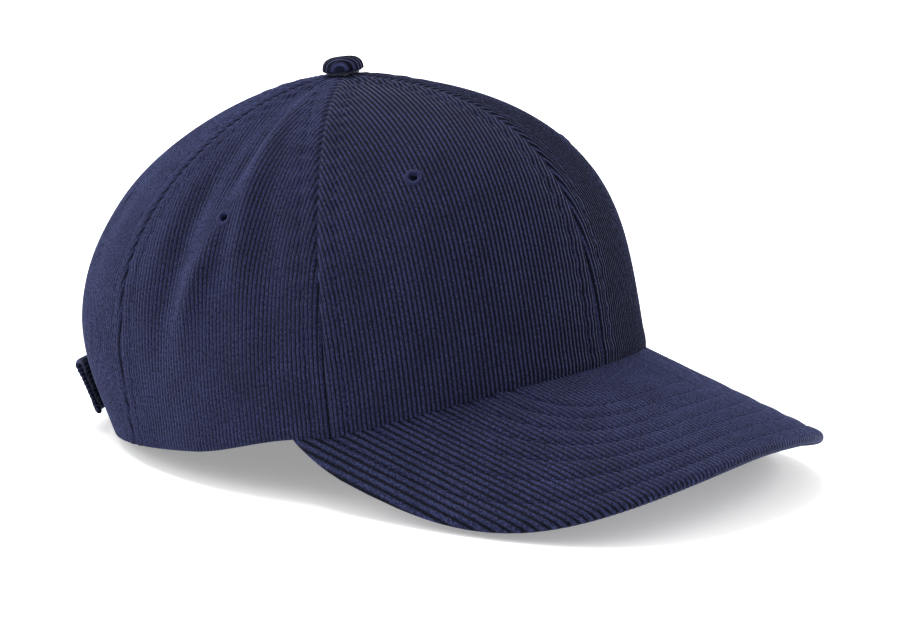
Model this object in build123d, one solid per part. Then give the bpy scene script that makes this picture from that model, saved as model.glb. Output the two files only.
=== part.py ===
"""Six-panel corduroy cap with a curved peak and an adjustable back strap.

Cap frame: Z is the button's axis, -Y is forward, +X is the wearer's left, and Z = 0 is
the lowest edge of the crown. The finished pieces are tipped back by STAND_TILT, so that
the model stands on its back edge and the two sides of its peak, and moved so that the
origin is the middle of the underside of its bounding box. Millimetres throughout.
"""
import os
from math import atan2, cos, degrees, hypot, pi, radians, sin, sqrt, tan

from build123d import *

# Crown: outside of the corduroy
FRONT_LENGTH = 98.7        # button axis to the front of the rim
BACK_LENGTH = 102.6        # button axis to the back of the rim
HALF_WIDTH = 85.3          # button axis to the side of the rim
CROWN_HEIGHT = 117.7       # lowest rim to the top, without the button
FRONT_UPRIGHT = 0.68       # 0 = round profile, 1 = upright front panels
ROUNDNESS = 1.246           # power of the profile's width, side panels
ROUNDNESS_FRONT = 0.372     # added to it at the front, taken from it at the back
BULGE = (0.018, -0.258, 0.078)   # swell above the rim: everywhere, by cos and by cos of 2x
SIDE_SEAM_ANGLE = 62.0     # seam between front and side panels, degrees from the front
BACK_SEAM_ANGLE = 125.2    # seam between side and back panels
STAND_TILT = 8.5           # how far the standing cap leans back

# Cloth
CORDUROY = 1.2
SEAM_GAP = 0.1             # between two panels, and between cloth layers
TAPE_THICKNESS = 0.5
TAPE_WIDTH = 12.0
SWEATBAND_THICKNESS = 1.0
SWEATBAND_HEIGHT = 30.0
PADDING_THICKNESS = 1.0
PADDING_HEIGHT = 22.0
PADDING_ANGLE = 55.0       # each way from the front
TAPE_START = 2.0           # up from the rim
BAND_START = 1.0           # sweatband's lower edge, up from the rim
SWEATBAND_EASES = (105.0, 140.0)   # where it leaves the panels for the strap's pocket

# Peak
PEAK_LENGTH = 70.7         # along the peak from the front of the rim
PEAK_HALF_WIDTH = HALF_WIDTH - 0.7
PEAK_DROP = 22.9           # slope of its crest, degrees
PEAK_RADIUS = 1.9683 * HALF_WIDTH   # bend across the middle
PEAK_CURL = 14.1           # extra drop of the sides at CURL_AT
CURL_AT = 0.9379 * HALF_WIDTH
PEAK_CORNER_ANGLE = 74.0   # where the peak leaves the rim, round the rim from the front
PEAK_RIM_HEIGHT = 13.5     # height of the rim at the crest of the peak
PEAK_WIDEST = 23.3         # forward of its corners, where the peak is widest
PEAK_SQUARENESS = 0.75     # 1 = elliptical front edge, less = squarer
RIM_BLEND_ANGLE = 25.0     # over which the rim comes down behind the peak
BOARD_THICKNESS = 1.8
BOARD_INSET = 1.6          # cloth turned round the edge of the board
PEAK_TUCK = 2.2            # how far the peak runs in under the panels
PEAK_SEAM_GAP = 0.3

# Top button and eyelets
TOP_HOLE_RADIUS = 2.6
BUTTON_RADIUS = 7.2
BUTTON_HEIGHT = 6.0
SHELL_THICKNESS = 0.6
PRONG_RADIUS = 2.0
WASHER_RADIUS = 5.5
WASHER_THICKNESS = 0.8
TOP_SAG = 0.5              # fall of the cloth across the washer
EYELET_ANGLES = (35.0, 92.4, 152.0)
EYELET_HEIGHT = 0.50       # as a share of the way from rim to button along the cloth
EYELET_HOLE_RADIUS = 1.7
EYELET_RADIUS = 3.3
EYELET_PROUD = 0.5
EYELET_WALL = 0.3          # thread inside the hole

# Back opening, strap and buckle
ARCH_HALF_WIDTH = 34.0
ARCH_HEIGHT = 44.0
FACING_WIDTH = 8.0
FACING_THICKNESS = 0.6
STRAP_WIDTH = 19.0
STRAP_THICKNESS = 2.4
STRAP_LOW_EDGE = 5.8
STRAP_ROOT = 57.3          # length to its hidden end, towards the wearer's left
STRAP_TAIL = 45.9          # length to its free end, towards the wearer's right
BUCKLE_ANGLE = 5.0         # buckle's place, towards the wearer's right
SLIDE_GAP = 0.3            # between the strap and all that it slides past
TAB_THICKNESS = 2.4
TAB_WIDTH = 17.0
TAB_LOW_EDGE = 8.2
TAB_END = 51.0             # length round the rim to the tab's sewn end
WIRE = 1.0                 # buckle's sheet thickness
BUCKLE_LENGTH = 16.0
BAR_RADIUS = 0.9
BAR_PLACE = 10.5           # from the buckle's middle towards the tab
PIN_RADIUS = 0.7
PIN_PLACE = 5.0
LEVER_BORE_GAP = 0.05
BARREL_RADIUS = 1.5
LEVER_THICKNESS = 0.9
LEVER_LENGTH = 13.0
LEVER_TIP = 3.0            # finger lip, turned up at the end of the lever
LEVER_TIP_ANGLE = 35.0
TOOTH = 0.25
TOOTH_PITCH = 3.4
TEETH = 6

# Sizes that follow from the ones above
RIM_BACK_RADIUS = 1.0294 * HALF_WIDTH ** 2 / BACK_LENGTH   # circle that fits the back of the rim
STRAP_RADIUS = RIM_BACK_RADIUS + STRAP_THICKNESS / 2 + 1.4   # its middle, at the lower edge
STRAP_FLARE = 35.3 / CROWN_HEIGHT   # how much the strap widens per height, as the crown does
STRAP_OFFSET = RIM_BACK_RADIUS * (0.0205 * CORDUROY + 0.0103 * STRAP_THICKNESS + 0.0452)
STRAP_ROOT_ANGLE = degrees(STRAP_ROOT / RIM_BACK_RADIUS)
STRAP_TAIL_ANGLE = degrees(STRAP_TAIL / RIM_BACK_RADIUS)
TAB_END_ANGLE = degrees(TAB_END / RIM_BACK_RADIUS)
STRAP_POCKET = CORDUROY + STRAP_THICKNESS + 2.8   # depth of the sweatband behind the strap
TAB_RADIUS = RIM_BACK_RADIUS - CORDUROY - TAB_THICKNESS / 6   # its middle, level with the strap

MERIDIAN_STEPS = 160
PANEL_ROWS = 18
PANEL_COLUMNS = 9
FIT_TOLERANCE = 0.03


def rim_half_length(phi):
    """Half length of the rim's oval, front or back."""
    return FRONT_LENGTH if cos(phi) > 0 else BACK_LENGTH


def rim_plan(phi):
    """Point of the rim in plan; phi runs from the front towards the wearer's right."""
    return -HALF_WIDTH * sin(phi), -rim_half_length(phi) * cos(phi)


def oval_angle(polar_degrees):
    """The oval's own angle for a direction seen from the button's axis."""
    polar = radians(polar_degrees)
    return atan2(sin(polar) / HALF_WIDTH, cos(polar) / rim_half_length(polar))


def peak_drop_across(x):
    """How far the peak's section falls at x from its crest, square to its slope."""
    return PEAK_RADIUS - sqrt(PEAK_RADIUS ** 2 - x * x) + PEAK_CURL * (x / CURL_AT) ** 4


def peak_height(x, y):
    """Height of the top of the peak: straight lines forward and down, bent across."""
    slope = radians(PEAK_DROP)
    return PEAK_RIM_HEIGHT + (y + FRONT_LENGTH) * tan(slope) - peak_drop_across(x) / cos(slope)


def rim_height(phi):
    """The rim rides on the peak between its corners and then eases down to zero."""
    corner = radians(PEAK_CORNER_ANGLE)
    if abs(phi) < corner:
        return peak_height(*rim_plan(phi)) + PEAK_SEAM_GAP
    share = min((abs(phi) - corner) / radians(RIM_BLEND_ANGLE), 1.0)
    return (peak_height(*rim_plan(corner)) + PEAK_SEAM_GAP) * (1 - share * share * (3 - 2 * share))


def profile(phi, t):
    """Share of the rim's width and share of the height at t, from rim 0 to top 1."""
    turn = t * pi / 2
    rise = sin(turn) ** (1 - FRONT_UPRIGHT * (1 + cos(phi)) / 2)
    width = cos(turn) ** (ROUNDNESS + ROUNDNESS_FRONT * cos(phi))
    swell = BULGE[0] + BULGE[1] * cos(phi) + BULGE[2] * cos(2 * phi)
    return width * (1 + swell * sin(pi * t) * (1 - t)), rise


def crown_point(phi, t):
    width, rise = profile(phi, t)
    x, y = rim_plan(phi)
    low = rim_height(phi)
    return Vector(x * width, y * width, low + (CROWN_HEIGHT - low) * rise)


def crown_normal(phi, t):
    step = 1e-4
    low = max(t - step, 0.0)
    high = min(t + step, 1 - 1e-6)
    along = crown_point(phi, high) - crown_point(phi, low)
    round_ = crown_point(phi + step, t) - crown_point(phi - step, t)
    return along.cross(round_).normalized()


def under_crown(phi, t, depth):
    """Point this deep inside the crown's outer surface."""
    return crown_point(phi, t) - crown_normal(phi, t) * depth


def meridian(phi, stop_radius):
    """Values of t and the cloth's length up to each, from the rim to stop_radius."""
    values = [(i / MERIDIAN_STEPS) ** 2 for i in range(MERIDIAN_STEPS // 2)]
    start = values[-1]
    values += [start + (1 - start) * i / MERIDIAN_STEPS for i in range(1, MERIDIAN_STEPS)]
    kept, lengths = [0.0], [0.0]
    last = crown_point(phi, 0.0)
    for t in values[1:]:
        point = crown_point(phi, t)
        radius = hypot(point.X, point.Y)
        step = (point - last).length
        if radius < stop_radius:
            last_radius = hypot(last.X, last.Y)
            share = (last_radius - stop_radius) / (last_radius - radius)
            kept.append(kept[-1] + share * (t - kept[-1]))
            lengths.append(lengths[-1] + share * step)
            break
        kept.append(t)
        lengths.append(lengths[-1] + step)
        last = point
    return kept, lengths


def t_at(phi, share, stop_radius=TOP_HOLE_RADIUS):
    """The t that is this share of the cloth's length up from the rim."""
    values, lengths = meridian(phi, stop_radius)
    return t_at_length(values, lengths, share * lengths[-1])


def t_at_length(values, lengths, length):
    for i in range(1, len(values)):
        if lengths[i] >= length:
            part = (length - lengths[i - 1]) / (lengths[i] - lengths[i - 1])
            return values[i - 1] + part * (values[i] - values[i - 1])
    return values[-1]


def sheet_solid(rows, thickness):
    """A cloth solid: a smooth surface through rows of points, thickened inwards."""
    face = Face.make_surface_from_array_of_points(rows, tol=FIT_TOLERANCE)
    middle = face.position_at(0.5, 0.5)
    outwards = middle - Vector(0, 0, CROWN_HEIGHT / 3)
    side = -1 if face.normal_at(0.5, 0.5).dot(outwards) > 0 else 1
    return thicken(face, side * thickness)


def steps(low, high, count):
    return [low + (high - low) * i / (count - 1) for i in range(count)]


def band_rows(phis, depth, low, high, count):
    """Rows of points on a band round the crown's inside, by cloth length from the rim."""
    columns = []
    for phi in phis:
        values, lengths = meridian(phi, TOP_HOLE_RADIUS)
        inset = depth(phi) if callable(depth) else depth
        columns.append([under_crown(phi, t_at_length(values, lengths, length), inset)
                        for length in steps(low, high, count)])
    return [list(row) for row in zip(*columns)]


# ---------------------------------------------------------------- crown panels
def arch_prism(grow=0.0, bottom=-20.0):
    """Round-topped doorway through the back of the crown, along Y."""
    half = ARCH_HALF_WIDTH + grow
    height = ARCH_HEIGHT + grow - half
    outline = Pos(0, (height + bottom) / 2) * Rectangle(2 * half, height - bottom)
    outline += Pos(0, height) * Circle(half)
    return extrude(Plane.XZ * outline, amount=-2 * BACK_LENGTH)


def eyelet_axis(polar):
    """Plane at an eyelet, on the outside of the cloth and looking outwards."""
    phi = oval_angle(polar)
    t = t_at(phi, EYELET_HEIGHT)
    return Plane(origin=crown_point(phi, t), z_dir=crown_normal(phi, t))


def crown_panel(first, last, eyelet):
    """One gore of corduroy between two seams, with its eyelet's hole."""
    phi_first, phi_last = oval_angle(first), oval_angle(last)
    if last == 180.0:
        phi_last = pi
    columns = []
    for share in steps(0.0, 1.0, PANEL_COLUMNS):
        phi = phi_first + (phi_last - phi_first) * share
        values, lengths = meridian(phi, TOP_HOLE_RADIUS)
        near_end = (1 - 2 * share) * SEAM_GAP / 2
        shift = Vector(-cos(phi), sin(phi), 0) * near_end
        columns.append([crown_point(phi, t_at_length(values, lengths, length)) + shift
                        for length in steps(0.0, lengths[-1], PANEL_ROWS)])
    panel = sheet_solid([list(row) for row in zip(*columns)], CORDUROY)
    panel -= eyelet_axis(eyelet) * Cylinder(EYELET_HOLE_RADIUS, 6 * CORDUROY)
    return panel - arch_prism()


def eyelet_ring(polar):
    """A close ring of thread round the hole, with a flange on both faces of the cloth."""
    height = CORDUROY + 2 * EYELET_PROUD
    seat_height = CORDUROY + 2 * SEAM_GAP
    ring = Cylinder(EYELET_RADIUS, height) - Cylinder(EYELET_HOLE_RADIUS - EYELET_WALL, height)
    seat = Cylinder(EYELET_RADIUS, seat_height) - Cylinder(EYELET_HOLE_RADIUS, seat_height)
    return eyelet_axis(polar) * Pos(0, 0, -CORDUROY / 2) * (ring - seat)


# ---------------------------------------------------------------- inside the crown
def tape_row(phi, t, depth):
    """Points across a tape that lies along a seam, below the crown's top."""
    step = 1e-3
    round_ = (crown_point(phi + step, t) - crown_point(phi - step, t)).length / (2 * step)
    half = TAPE_WIDTH / 2 / round_
    return [under_crown(phi + side * half, t, depth) for side in (-1, -0.5, 0, 0.5, 1)]


def short_tape(polar):
    """Cotton tape over a side seam, stopping short of the tape over the centre seam."""
    phi = oval_angle(polar)
    depth = CORDUROY + SEAM_GAP
    values, lengths = meridian(phi, 1.6 * TAPE_WIDTH)
    rows = [tape_row(phi, t_at_length(values, lengths, length), depth)
            for length in steps(TAPE_START, lengths[-1], 14)]
    return sheet_solid(rows, TAPE_THICKNESS)


def centre_tape():
    """The long tape, from the front of the rim over the top to the back opening."""
    near = CORDUROY + SEAM_GAP + (TAPE_WIDTH / 2) ** 2 / HALF_WIDTH
    edges = []
    for depth in (near, near + TAPE_THICKNESS):
        line = []
        for phi in (0.0, pi):
            values, lengths = meridian(phi, TAPE_WIDTH / 2)
            line.append([under_crown(phi, t_at_length(values, lengths, length), depth)
                         for length in steps(TAPE_START, lengths[-1], 16)])
        front, back = line
        edges.append(Spline(*[(0, point.Y, point.Z) for point in front + back[::-1]]))
    ends = [Line(edges[0] @ 0, edges[1] @ 0), Line(edges[0] @ 1, edges[1] @ 1)]
    tape = extrude(make_face([*edges, *ends]), amount=TAPE_WIDTH / 2, both=True, dir=(1, 0, 0))
    tape -= Pos(0, 0, CROWN_HEIGHT) * Cylinder(TOP_HOLE_RADIUS, 20)
    return tape - arch_prism(FACING_WIDTH + SLIDE_GAP)


def sweatband_depth(phi):
    """Close under the tapes, but with room for the strap's ends near the opening."""
    near = CORDUROY + 2 * TAPE_THICKNESS + PADDING_THICKNESS + 6 * SEAM_GAP
    share = (abs(degrees(phi)) - SWEATBAND_EASES[0]) / (SWEATBAND_EASES[1] - SWEATBAND_EASES[0])
    share = min(max(share, 0.0), 1.0)
    return near + (STRAP_POCKET - near) * share * share * (3 - 2 * share)


def sweatband():
    """Twill band round the inside of the rim, open at the back opening."""
    end = oval_angle(180.0 - degrees(atan2(ARCH_HALF_WIDTH + 1.0, BACK_LENGTH)))
    phis = steps(-end, end, 61)
    rows = band_rows(phis, sweatband_depth, BAND_START, SWEATBAND_HEIGHT, 6)
    return sheet_solid(rows, SWEATBAND_THICKNESS)


def sweatband_padding():
    """Soft interlining between the front panels and the sweatband."""
    end = radians(PADDING_ANGLE)
    depth = CORDUROY + 2 * TAPE_THICKNESS + 2 * SEAM_GAP
    rows = band_rows(steps(-end, end, 31), depth, BAND_START + 2.0, PADDING_HEIGHT, 5)
    return sheet_solid(rows, PADDING_THICKNESS - SEAM_GAP)


def opening_facing():
    """Turned and stitched edge inside the arch of the back opening, above the strap."""
    low = STRAP_LOW_EDGE + STRAP_WIDTH + 2 * SLIDE_GAP
    half = ARCH_HALF_WIDTH + 2 * FACING_WIDTH
    end = pi - 1.05 * half / BACK_LENGTH
    depth = CORDUROY + SEAM_GAP
    rows = band_rows(steps(end, 2 * pi - end, 21), depth, low, ARCH_HEIGHT + 3 * FACING_WIDTH, 10)
    patch = sheet_solid(rows, FACING_THICKNESS)
    ring = arch_prism(FACING_WIDTH) - arch_prism()
    above = Pos(0, BACK_LENGTH, low + BACK_LENGTH) * Box(4 * half, 2 * BACK_LENGTH, 2 * BACK_LENGTH)
    return patch & ring & above


# ---------------------------------------------------------------- peak
def peak_lean(x, y, depth):
    """Plan place of the point this deep under the peak's top at x, y, square to it."""
    down = (peak_drop_across(x + 0.01) - peak_drop_across(x - 0.01)) / 0.02
    grade_x = -down / cos(radians(PEAK_DROP))
    grade_y = tan(radians(PEAK_DROP))
    size = sqrt(1 + grade_x ** 2 + grade_y ** 2)
    return x + depth * grade_x / size, y + depth * grade_y / size


def peak_outline(inset, depth, tuck):
    """Plan of the peak: corners on the rim, sides widening, a squarish front edge."""
    corner = radians(PEAK_CORNER_ANGLE)
    corner_x, corner_y = rim_plan(corner)
    corner_x = -corner_x - inset
    half = PEAK_HALF_WIDTH - inset
    widest = corner_y - PEAK_WIDEST
    tip = -FRONT_LENGTH - PEAK_LENGTH * cos(radians(PEAK_DROP)) + inset
    side = [(half - (half - corner_x) * share ** 2, widest + share * (corner_y - widest))
            for share in steps(1.0, 0.0, 7)]
    front = [(half * sin(turn) ** PEAK_SQUARENESS,
              widest + (tip - widest) * cos(turn) ** PEAK_SQUARENESS)
             for turn in steps(pi / 2, 0.0, 25)]
    right = side + front[1:]
    left = [(-x, y) for x, y in reversed(right[:-1])]
    rim = [rim_plan(radians(a)) for a in steps(PEAK_CORNER_ANGLE, -PEAK_CORNER_ANGLE, 41)]
    inner = [(x * (1 - tuck / HALF_WIDTH), y * (1 - tuck / FRONT_LENGTH)) for x, y in rim]
    edge = Spline(*[(*peak_lean(x, y, depth), 0) for x, y in right + left])
    back = Spline(*[(*peak_lean(x, y, depth), 0) for x, y in inner])
    ends = [Line(edge @ 1, back @ 0), Line(back @ 1, edge @ 0)]
    return make_face([edge, back, *ends])


def peak_layer(top, bottom, inset, tuck=PEAK_TUCK):
    """A layer of the peak between two depths under its top, cut to its plan."""
    half = 1.02 * PEAK_HALF_WIDTH
    lines = []
    for depth in (top, bottom):
        points = []
        for x in steps(-half, half, 25):
            grade = (peak_drop_across(x + 0.01) - peak_drop_across(x - 0.01)) / 0.02
            lean = sqrt(1 + grade * grade)
            points.append((x - depth * grade / lean, -peak_drop_across(x) - depth / lean))
        lines.append(points)
    slope = radians(PEAK_DROP)
    section = Plane(origin=(0, -FRONT_LENGTH, PEAK_RIM_HEIGHT), x_dir=(1, 0, 0),
                    z_dir=(0, -cos(slope), -sin(slope)))
    upper, lower = (Spline(*[section.from_local_coords((x, h, 0)) for x, h in line])
                    for line in lines)
    ends = [Line(upper @ 0, lower @ 0), Line(upper @ 1, lower @ 1)]
    profile_face = make_face([upper, lower, *ends])
    reach = FRONT_LENGTH + PEAK_LENGTH
    slab = extrude(profile_face, amount=reach, dir=(0, -cos(slope), -sin(slope)), both=True)
    plan = extrude(Pos(0, 0, -2 * CROWN_HEIGHT) * peak_outline(inset, (top + bottom) / 2, tuck),
                   amount=4 * CROWN_HEIGHT)
    return slab & plan


def peak_pieces():
    """Corduroy over and under a plastic board; the top cloth turns down over its edge."""
    under = CORDUROY + BOARD_THICKNESS
    board = peak_layer(CORDUROY, under, BOARD_INSET, PEAK_TUCK - PEAK_SEAM_GAP)
    pocket = peak_layer(CORDUROY, under, BOARD_INSET - SEAM_GAP, 2 * PEAK_TUCK)
    top = peak_layer(0.0, under, 0.0) - pocket
    bottom = peak_layer(under, under + CORDUROY, 0.0)
    seat = peak_layer(-SEAM_GAP, under + CORDUROY + SEAM_GAP, -SEAM_GAP, PEAK_TUCK + SEAM_GAP)
    return {"peak_top_cover": top, "peak_board": board, "peak_bottom_cover": bottom}, seat


# ---------------------------------------------------------------- top button
def button_pieces():
    """Domed metal shell covered with corduroy, held by a prong through the crown."""
    base = CROWN_HEIGHT + SEAM_GAP

    def dome(radius, height, foot):
        edge = height * 0.45
        outline = Polyline((0, foot), (radius * 0.92, foot), (radius, foot + edge * 0.5),
                           (radius * 0.99, edge), (radius * 0.72, height * 0.9), (0, height), (0, foot))
        return revolve(Plane.XZ * make_face(outline), Axis.Z)

    cover = dome(BUTTON_RADIUS, BUTTON_HEIGHT, 0) - dome(
        BUTTON_RADIUS - CORDUROY, BUTTON_HEIGHT - CORDUROY, -0.01)
    inner_radius = BUTTON_RADIUS - CORDUROY - SEAM_GAP
    inner_height = BUTTON_HEIGHT - CORDUROY - SEAM_GAP
    shell = dome(inner_radius, inner_height, 0) - dome(
        inner_radius - SHELL_THICKNESS, inner_height - SHELL_THICKNESS, -0.01)
    inside = CORDUROY + 2 * TAPE_THICKNESS + 3 * SEAM_GAP
    prong_top = 0.92 * (inner_height - SHELL_THICKNESS)
    washer_top = -inside - TOP_SAG
    prong = Pos(0, 0, (prong_top + washer_top) / 2) * Cylinder(PRONG_RADIUS, prong_top - washer_top)
    washer = Pos(0, 0, washer_top - WASHER_THICKNESS / 2) * Cylinder(WASHER_RADIUS, WASHER_THICKNESS)
    pieces = {"button_cover": cover, "button_shell": shell, "button_prong": prong + washer}
    return {name: Pos(0, 0, base) * piece for name, piece in pieces.items()}


# ---------------------------------------------------------------- back strap
def cone_band(centre_x, radius, low, width, thickness, start, end):
    """Band that flares upwards; angles run from the back towards the wearer's right."""
    centre_y = BACK_LENGTH - RIM_BACK_RADIUS
    top = radius + STRAP_FLARE * width
    half = thickness / 2
    outline = Polyline((radius - half, low), (radius + half, low), (top + half, low + width),
                       (top - half, low + width), (radius - half, low))
    band = revolve(Plane.XZ * make_face(outline), Axis.Z, end - start)
    return Pos(centre_x, centre_y, 0) * Rot(0, 0, 90 + start) * band


def strap():
    """Corduroy strap: root hidden inside the left panel, tail outside the right one."""
    return cone_band(-STRAP_OFFSET, STRAP_RADIUS, STRAP_LOW_EDGE, STRAP_WIDTH, STRAP_THICKNESS,
                     -STRAP_ROOT_ANGLE, STRAP_TAIL_ANGLE)


def buckle_plane():
    """Plane on the middle of the strap: X to the tail, Y up the strap, Z outwards."""
    turn = radians(BUCKLE_ANGLE)
    radius = STRAP_RADIUS + STRAP_FLARE * STRAP_WIDTH / 2
    centre_y = BACK_LENGTH - RIM_BACK_RADIUS
    origin = (-STRAP_OFFSET - radius * sin(turn), centre_y + radius * cos(turn),
              STRAP_LOW_EDGE + STRAP_WIDTH / 2)
    lean = atan2(STRAP_FLARE, 1.0)
    outwards = Vector(-sin(turn) * cos(lean), cos(turn) * cos(lean), -sin(lean))
    return Plane(origin=origin, x_dir=(-cos(turn), -sin(turn), 0), z_dir=outwards)


def bar_depth():
    """How far in from the strap the buckle's bar lies, on the middle of the tab."""
    lean = atan2(STRAP_FLARE, 1.0)
    centre = (0, BACK_LENGTH - RIM_BACK_RADIUS)
    out = -TAB_THICKNESS
    for _ in range(30):
        point = buckle_plane().from_local_coords(Vector(BAR_PLACE, 0, out))
        wanted = TAB_RADIUS + STRAP_FLARE * (point.Z - STRAP_LOW_EDGE)
        out += (wanted - hypot(point.X - centre[0], point.Y - centre[1])) * cos(lean)
    return out


def plate_top():
    """Height of the buckle's base plate under the curved strap."""
    bow = (BUCKLE_LENGTH / 2) ** 2 / (2 * STRAP_RADIUS)
    return -(STRAP_THICKNESS / 2 + SLIDE_GAP + bow)


def wall_place():
    """Inner face of the buckle's two cheeks, from the middle of the strap."""
    slant = STRAP_WIDTH * sqrt(1 + STRAP_FLARE ** 2) + STRAP_THICKNESS * STRAP_FLARE
    return slant / 2 + 2.5 * SLIDE_GAP


def pin_height():
    """Height of the pin above the middle of the strap."""
    return STRAP_THICKNESS / 2 + SLIDE_GAP + BARREL_RADIUS


def across(radius, along, out, length):
    """Round rod across the buckle, in the buckle's plane."""
    return Pos(along, 0, out) * Rot(90, 0, 0) * Cylinder(radius, length)


def buckle_frame():
    """Folded sheet: base plate, two cheeks that carry the pin, and a bar for the tab."""
    half, cheek = BUCKLE_LENGTH / 2, wall_place()
    low, bar, pin_out = plate_top() - WIRE, bar_depth(), pin_height()
    ear, eye = BARREL_RADIUS + 0.7, BAR_RADIUS + WIRE
    outline = [(-half, low), (-half, STRAP_THICKNESS / 2), (PIN_PLACE - ear, pin_out + ear),
               (PIN_PLACE + ear, pin_out + ear), (BAR_PLACE + eye, bar + eye + WIRE),
               (BAR_PLACE + eye, bar - eye), (BAR_PLACE - eye, bar - eye), (half - ear, low)]
    frame = Pos(0, 0, low + WIRE / 2) * Box(BUCKLE_LENGTH - WIRE, 2 * cheek, WIRE)
    for side in (-1, 1):
        face = make_face(Polyline(*[(u, 0, w) for u, w in outline + outline[:1]]))
        wall = extrude(face, amount=WIRE / 2, both=True, dir=(0, 1, 0))
        frame += Pos(0, side * (cheek + WIRE / 2), 0) * wall
    frame += across(BAR_RADIUS, BAR_PLACE, bar, 2 * cheek + WIRE)
    frame -= across(PIN_RADIUS, PIN_PLACE, pin_out, 3 * cheek)
    return buckle_plane() * frame


def buckle_pin():
    pin = across(PIN_RADIUS, PIN_PLACE, pin_height(), 2 * (wall_place() + WIRE))
    return buckle_plane() * pin


def buckle_lever():
    """Toothed clamp on the pin: its arm lies over the strap when it is shut."""
    pin_out = pin_height()
    width = 2 * (wall_place() - SLIDE_GAP)
    top = pin_out + BARREL_RADIUS - TOOTH
    lever = across(BARREL_RADIUS - TOOTH, PIN_PLACE, pin_out, width)
    arm_middle = PIN_PLACE - LEVER_LENGTH / 2
    lever += Pos(arm_middle, 0, top - LEVER_THICKNESS / 2) * Box(LEVER_LENGTH, width, LEVER_THICKNESS)
    lever += Pos(PIN_PLACE - LEVER_LENGTH, 0, top) * Rot(0, LEVER_TIP_ANGLE, 0) * Box(
        LEVER_TIP, width, LEVER_THICKNESS)
    reach = BARREL_RADIUS * 0.98
    for place in steps(-width / 2 + TOOTH_PITCH / 2, width / 2 - TOOTH_PITCH / 2, TEETH):
        lever += Pos(PIN_PLACE, place, pin_out - reach / 2) * Box(TOOTH, TOOTH_PITCH / 3, reach)
    lever -= across(PIN_RADIUS + LEVER_BORE_GAP, PIN_PLACE, pin_out, 2 * width)
    return buckle_plane() * lever


def buckle_tab():
    """Short double strip sewn inside the right panel, folded round the buckle's bar."""
    bar = bar_depth()
    place = buckle_plane().from_local_coords(Vector(BAR_PLACE, 0, bar))
    start = degrees(atan2(-place.X, place.Y - BACK_LENGTH + RIM_BACK_RADIUS))
    radius = TAB_RADIUS + STRAP_FLARE * (TAB_LOW_EDGE - STRAP_LOW_EDGE)
    band = cone_band(0, radius, TAB_LOW_EDGE, TAB_WIDTH, TAB_THICKNESS, start, TAB_END_ANGLE)
    loop = buckle_plane() * across(BAR_RADIUS + CORDUROY, BAR_PLACE, bar, TAB_WIDTH)
    bore = buckle_plane() * across(BAR_RADIUS + LEVER_BORE_GAP, BAR_PLACE, bar, 2 * TAB_WIDTH)
    return band + loop - bore


# ---------------------------------------------------------------- the whole cap
def build_cap():
    seams = (0.0, SIDE_SEAM_ANGLE, BACK_SEAM_ANGLE, 180.0)
    names = ("front", "side", "back")
    peak, seat = peak_pieces()
    cap = {}
    for name, first, last, eyelet in zip(names, seams, seams[1:], EYELET_ANGLES):
        panel = crown_panel(first, last, eyelet) - seat
        ring = eyelet_ring(eyelet)
        cap[f"crown_panel_{name}_right"] = panel
        cap[f"crown_panel_{name}_left"] = mirror(panel, Plane.YZ)
        cap[f"eyelet_{name}_right"] = ring
        cap[f"eyelet_{name}_left"] = mirror(ring, Plane.YZ)
    for name, polar in (("side", SIDE_SEAM_ANGLE), ("back", BACK_SEAM_ANGLE)):
        tape = short_tape(polar) - seat
        cap[f"seam_tape_{name}_right"] = tape
        cap[f"seam_tape_{name}_left"] = mirror(tape, Plane.YZ)
    cap["seam_tape_centre"] = centre_tape() - seat
    cap["sweatband"] = sweatband() - seat
    cap["sweatband_padding"] = sweatband_padding() - seat
    cap["back_opening_facing"] = opening_facing()
    cap.update(peak)
    cap.update(button_pieces())
    cap["back_strap"] = strap()
    cap["buckle_tab"] = buckle_tab()
    cap["buckle_frame"] = buckle_frame()
    cap["buckle_pin"] = buckle_pin()
    cap["buckle_lever"] = buckle_lever()
    return cap


cap = build_cap()
tipped = {name: Rot(-STAND_TILT, 0, 0) * piece for name, piece in cap.items()}
boxes = [piece.bounding_box() for piece in tipped.values()]
low = [min(getattr(box.min, axis) for box in boxes) for axis in "XYZ"]
high = [max(getattr(box.max, axis) for box in boxes) for axis in "XYZ"]
to_origin = Pos(-(low[0] + high[0]) / 2, -(low[1] + high[1]) / 2, -low[2])
os.makedirs("parts", exist_ok=True)
for name, piece in tipped.items():
    export_step(to_origin * piece, f"parts/{name}.step")

standing = to_origin * Rot(-STAND_TILT, 0, 0)
buckle = buckle_plane()
lever_axis = (buckle.from_local_coords(Vector(PIN_PLACE, 0, pin_height())),
              buckle.from_local_coords(Vector(PIN_PLACE, 1, pin_height())))
strap_axis = (Vector(-STRAP_OFFSET, BACK_LENGTH - RIM_BACK_RADIUS, 0),
              Vector(-STRAP_OFFSET, BACK_LENGTH - RIM_BACK_RADIUS, 1))
for name, (start, end) in (("lever", lever_axis), ("strap", strap_axis)):
    start, end = ((standing * Pos(*point)).position for point in (start, end))
    print(name, "hinge through", start, "along", end - start)
print("moved by", to_origin.position, "from", low, "to", high)
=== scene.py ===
"""Looks of a six-panel corduroy cap: curved peak, covered button, back strap and clamp buckle.

Shapes are worked out in the cap's own frame, in millimetres: Z is the button's axis, -Y is
forward and Z = 0 is the lowest part of the rim. to_row() leans the cap back as it stands and
turns millimetres into the frame's metres.
"""

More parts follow.
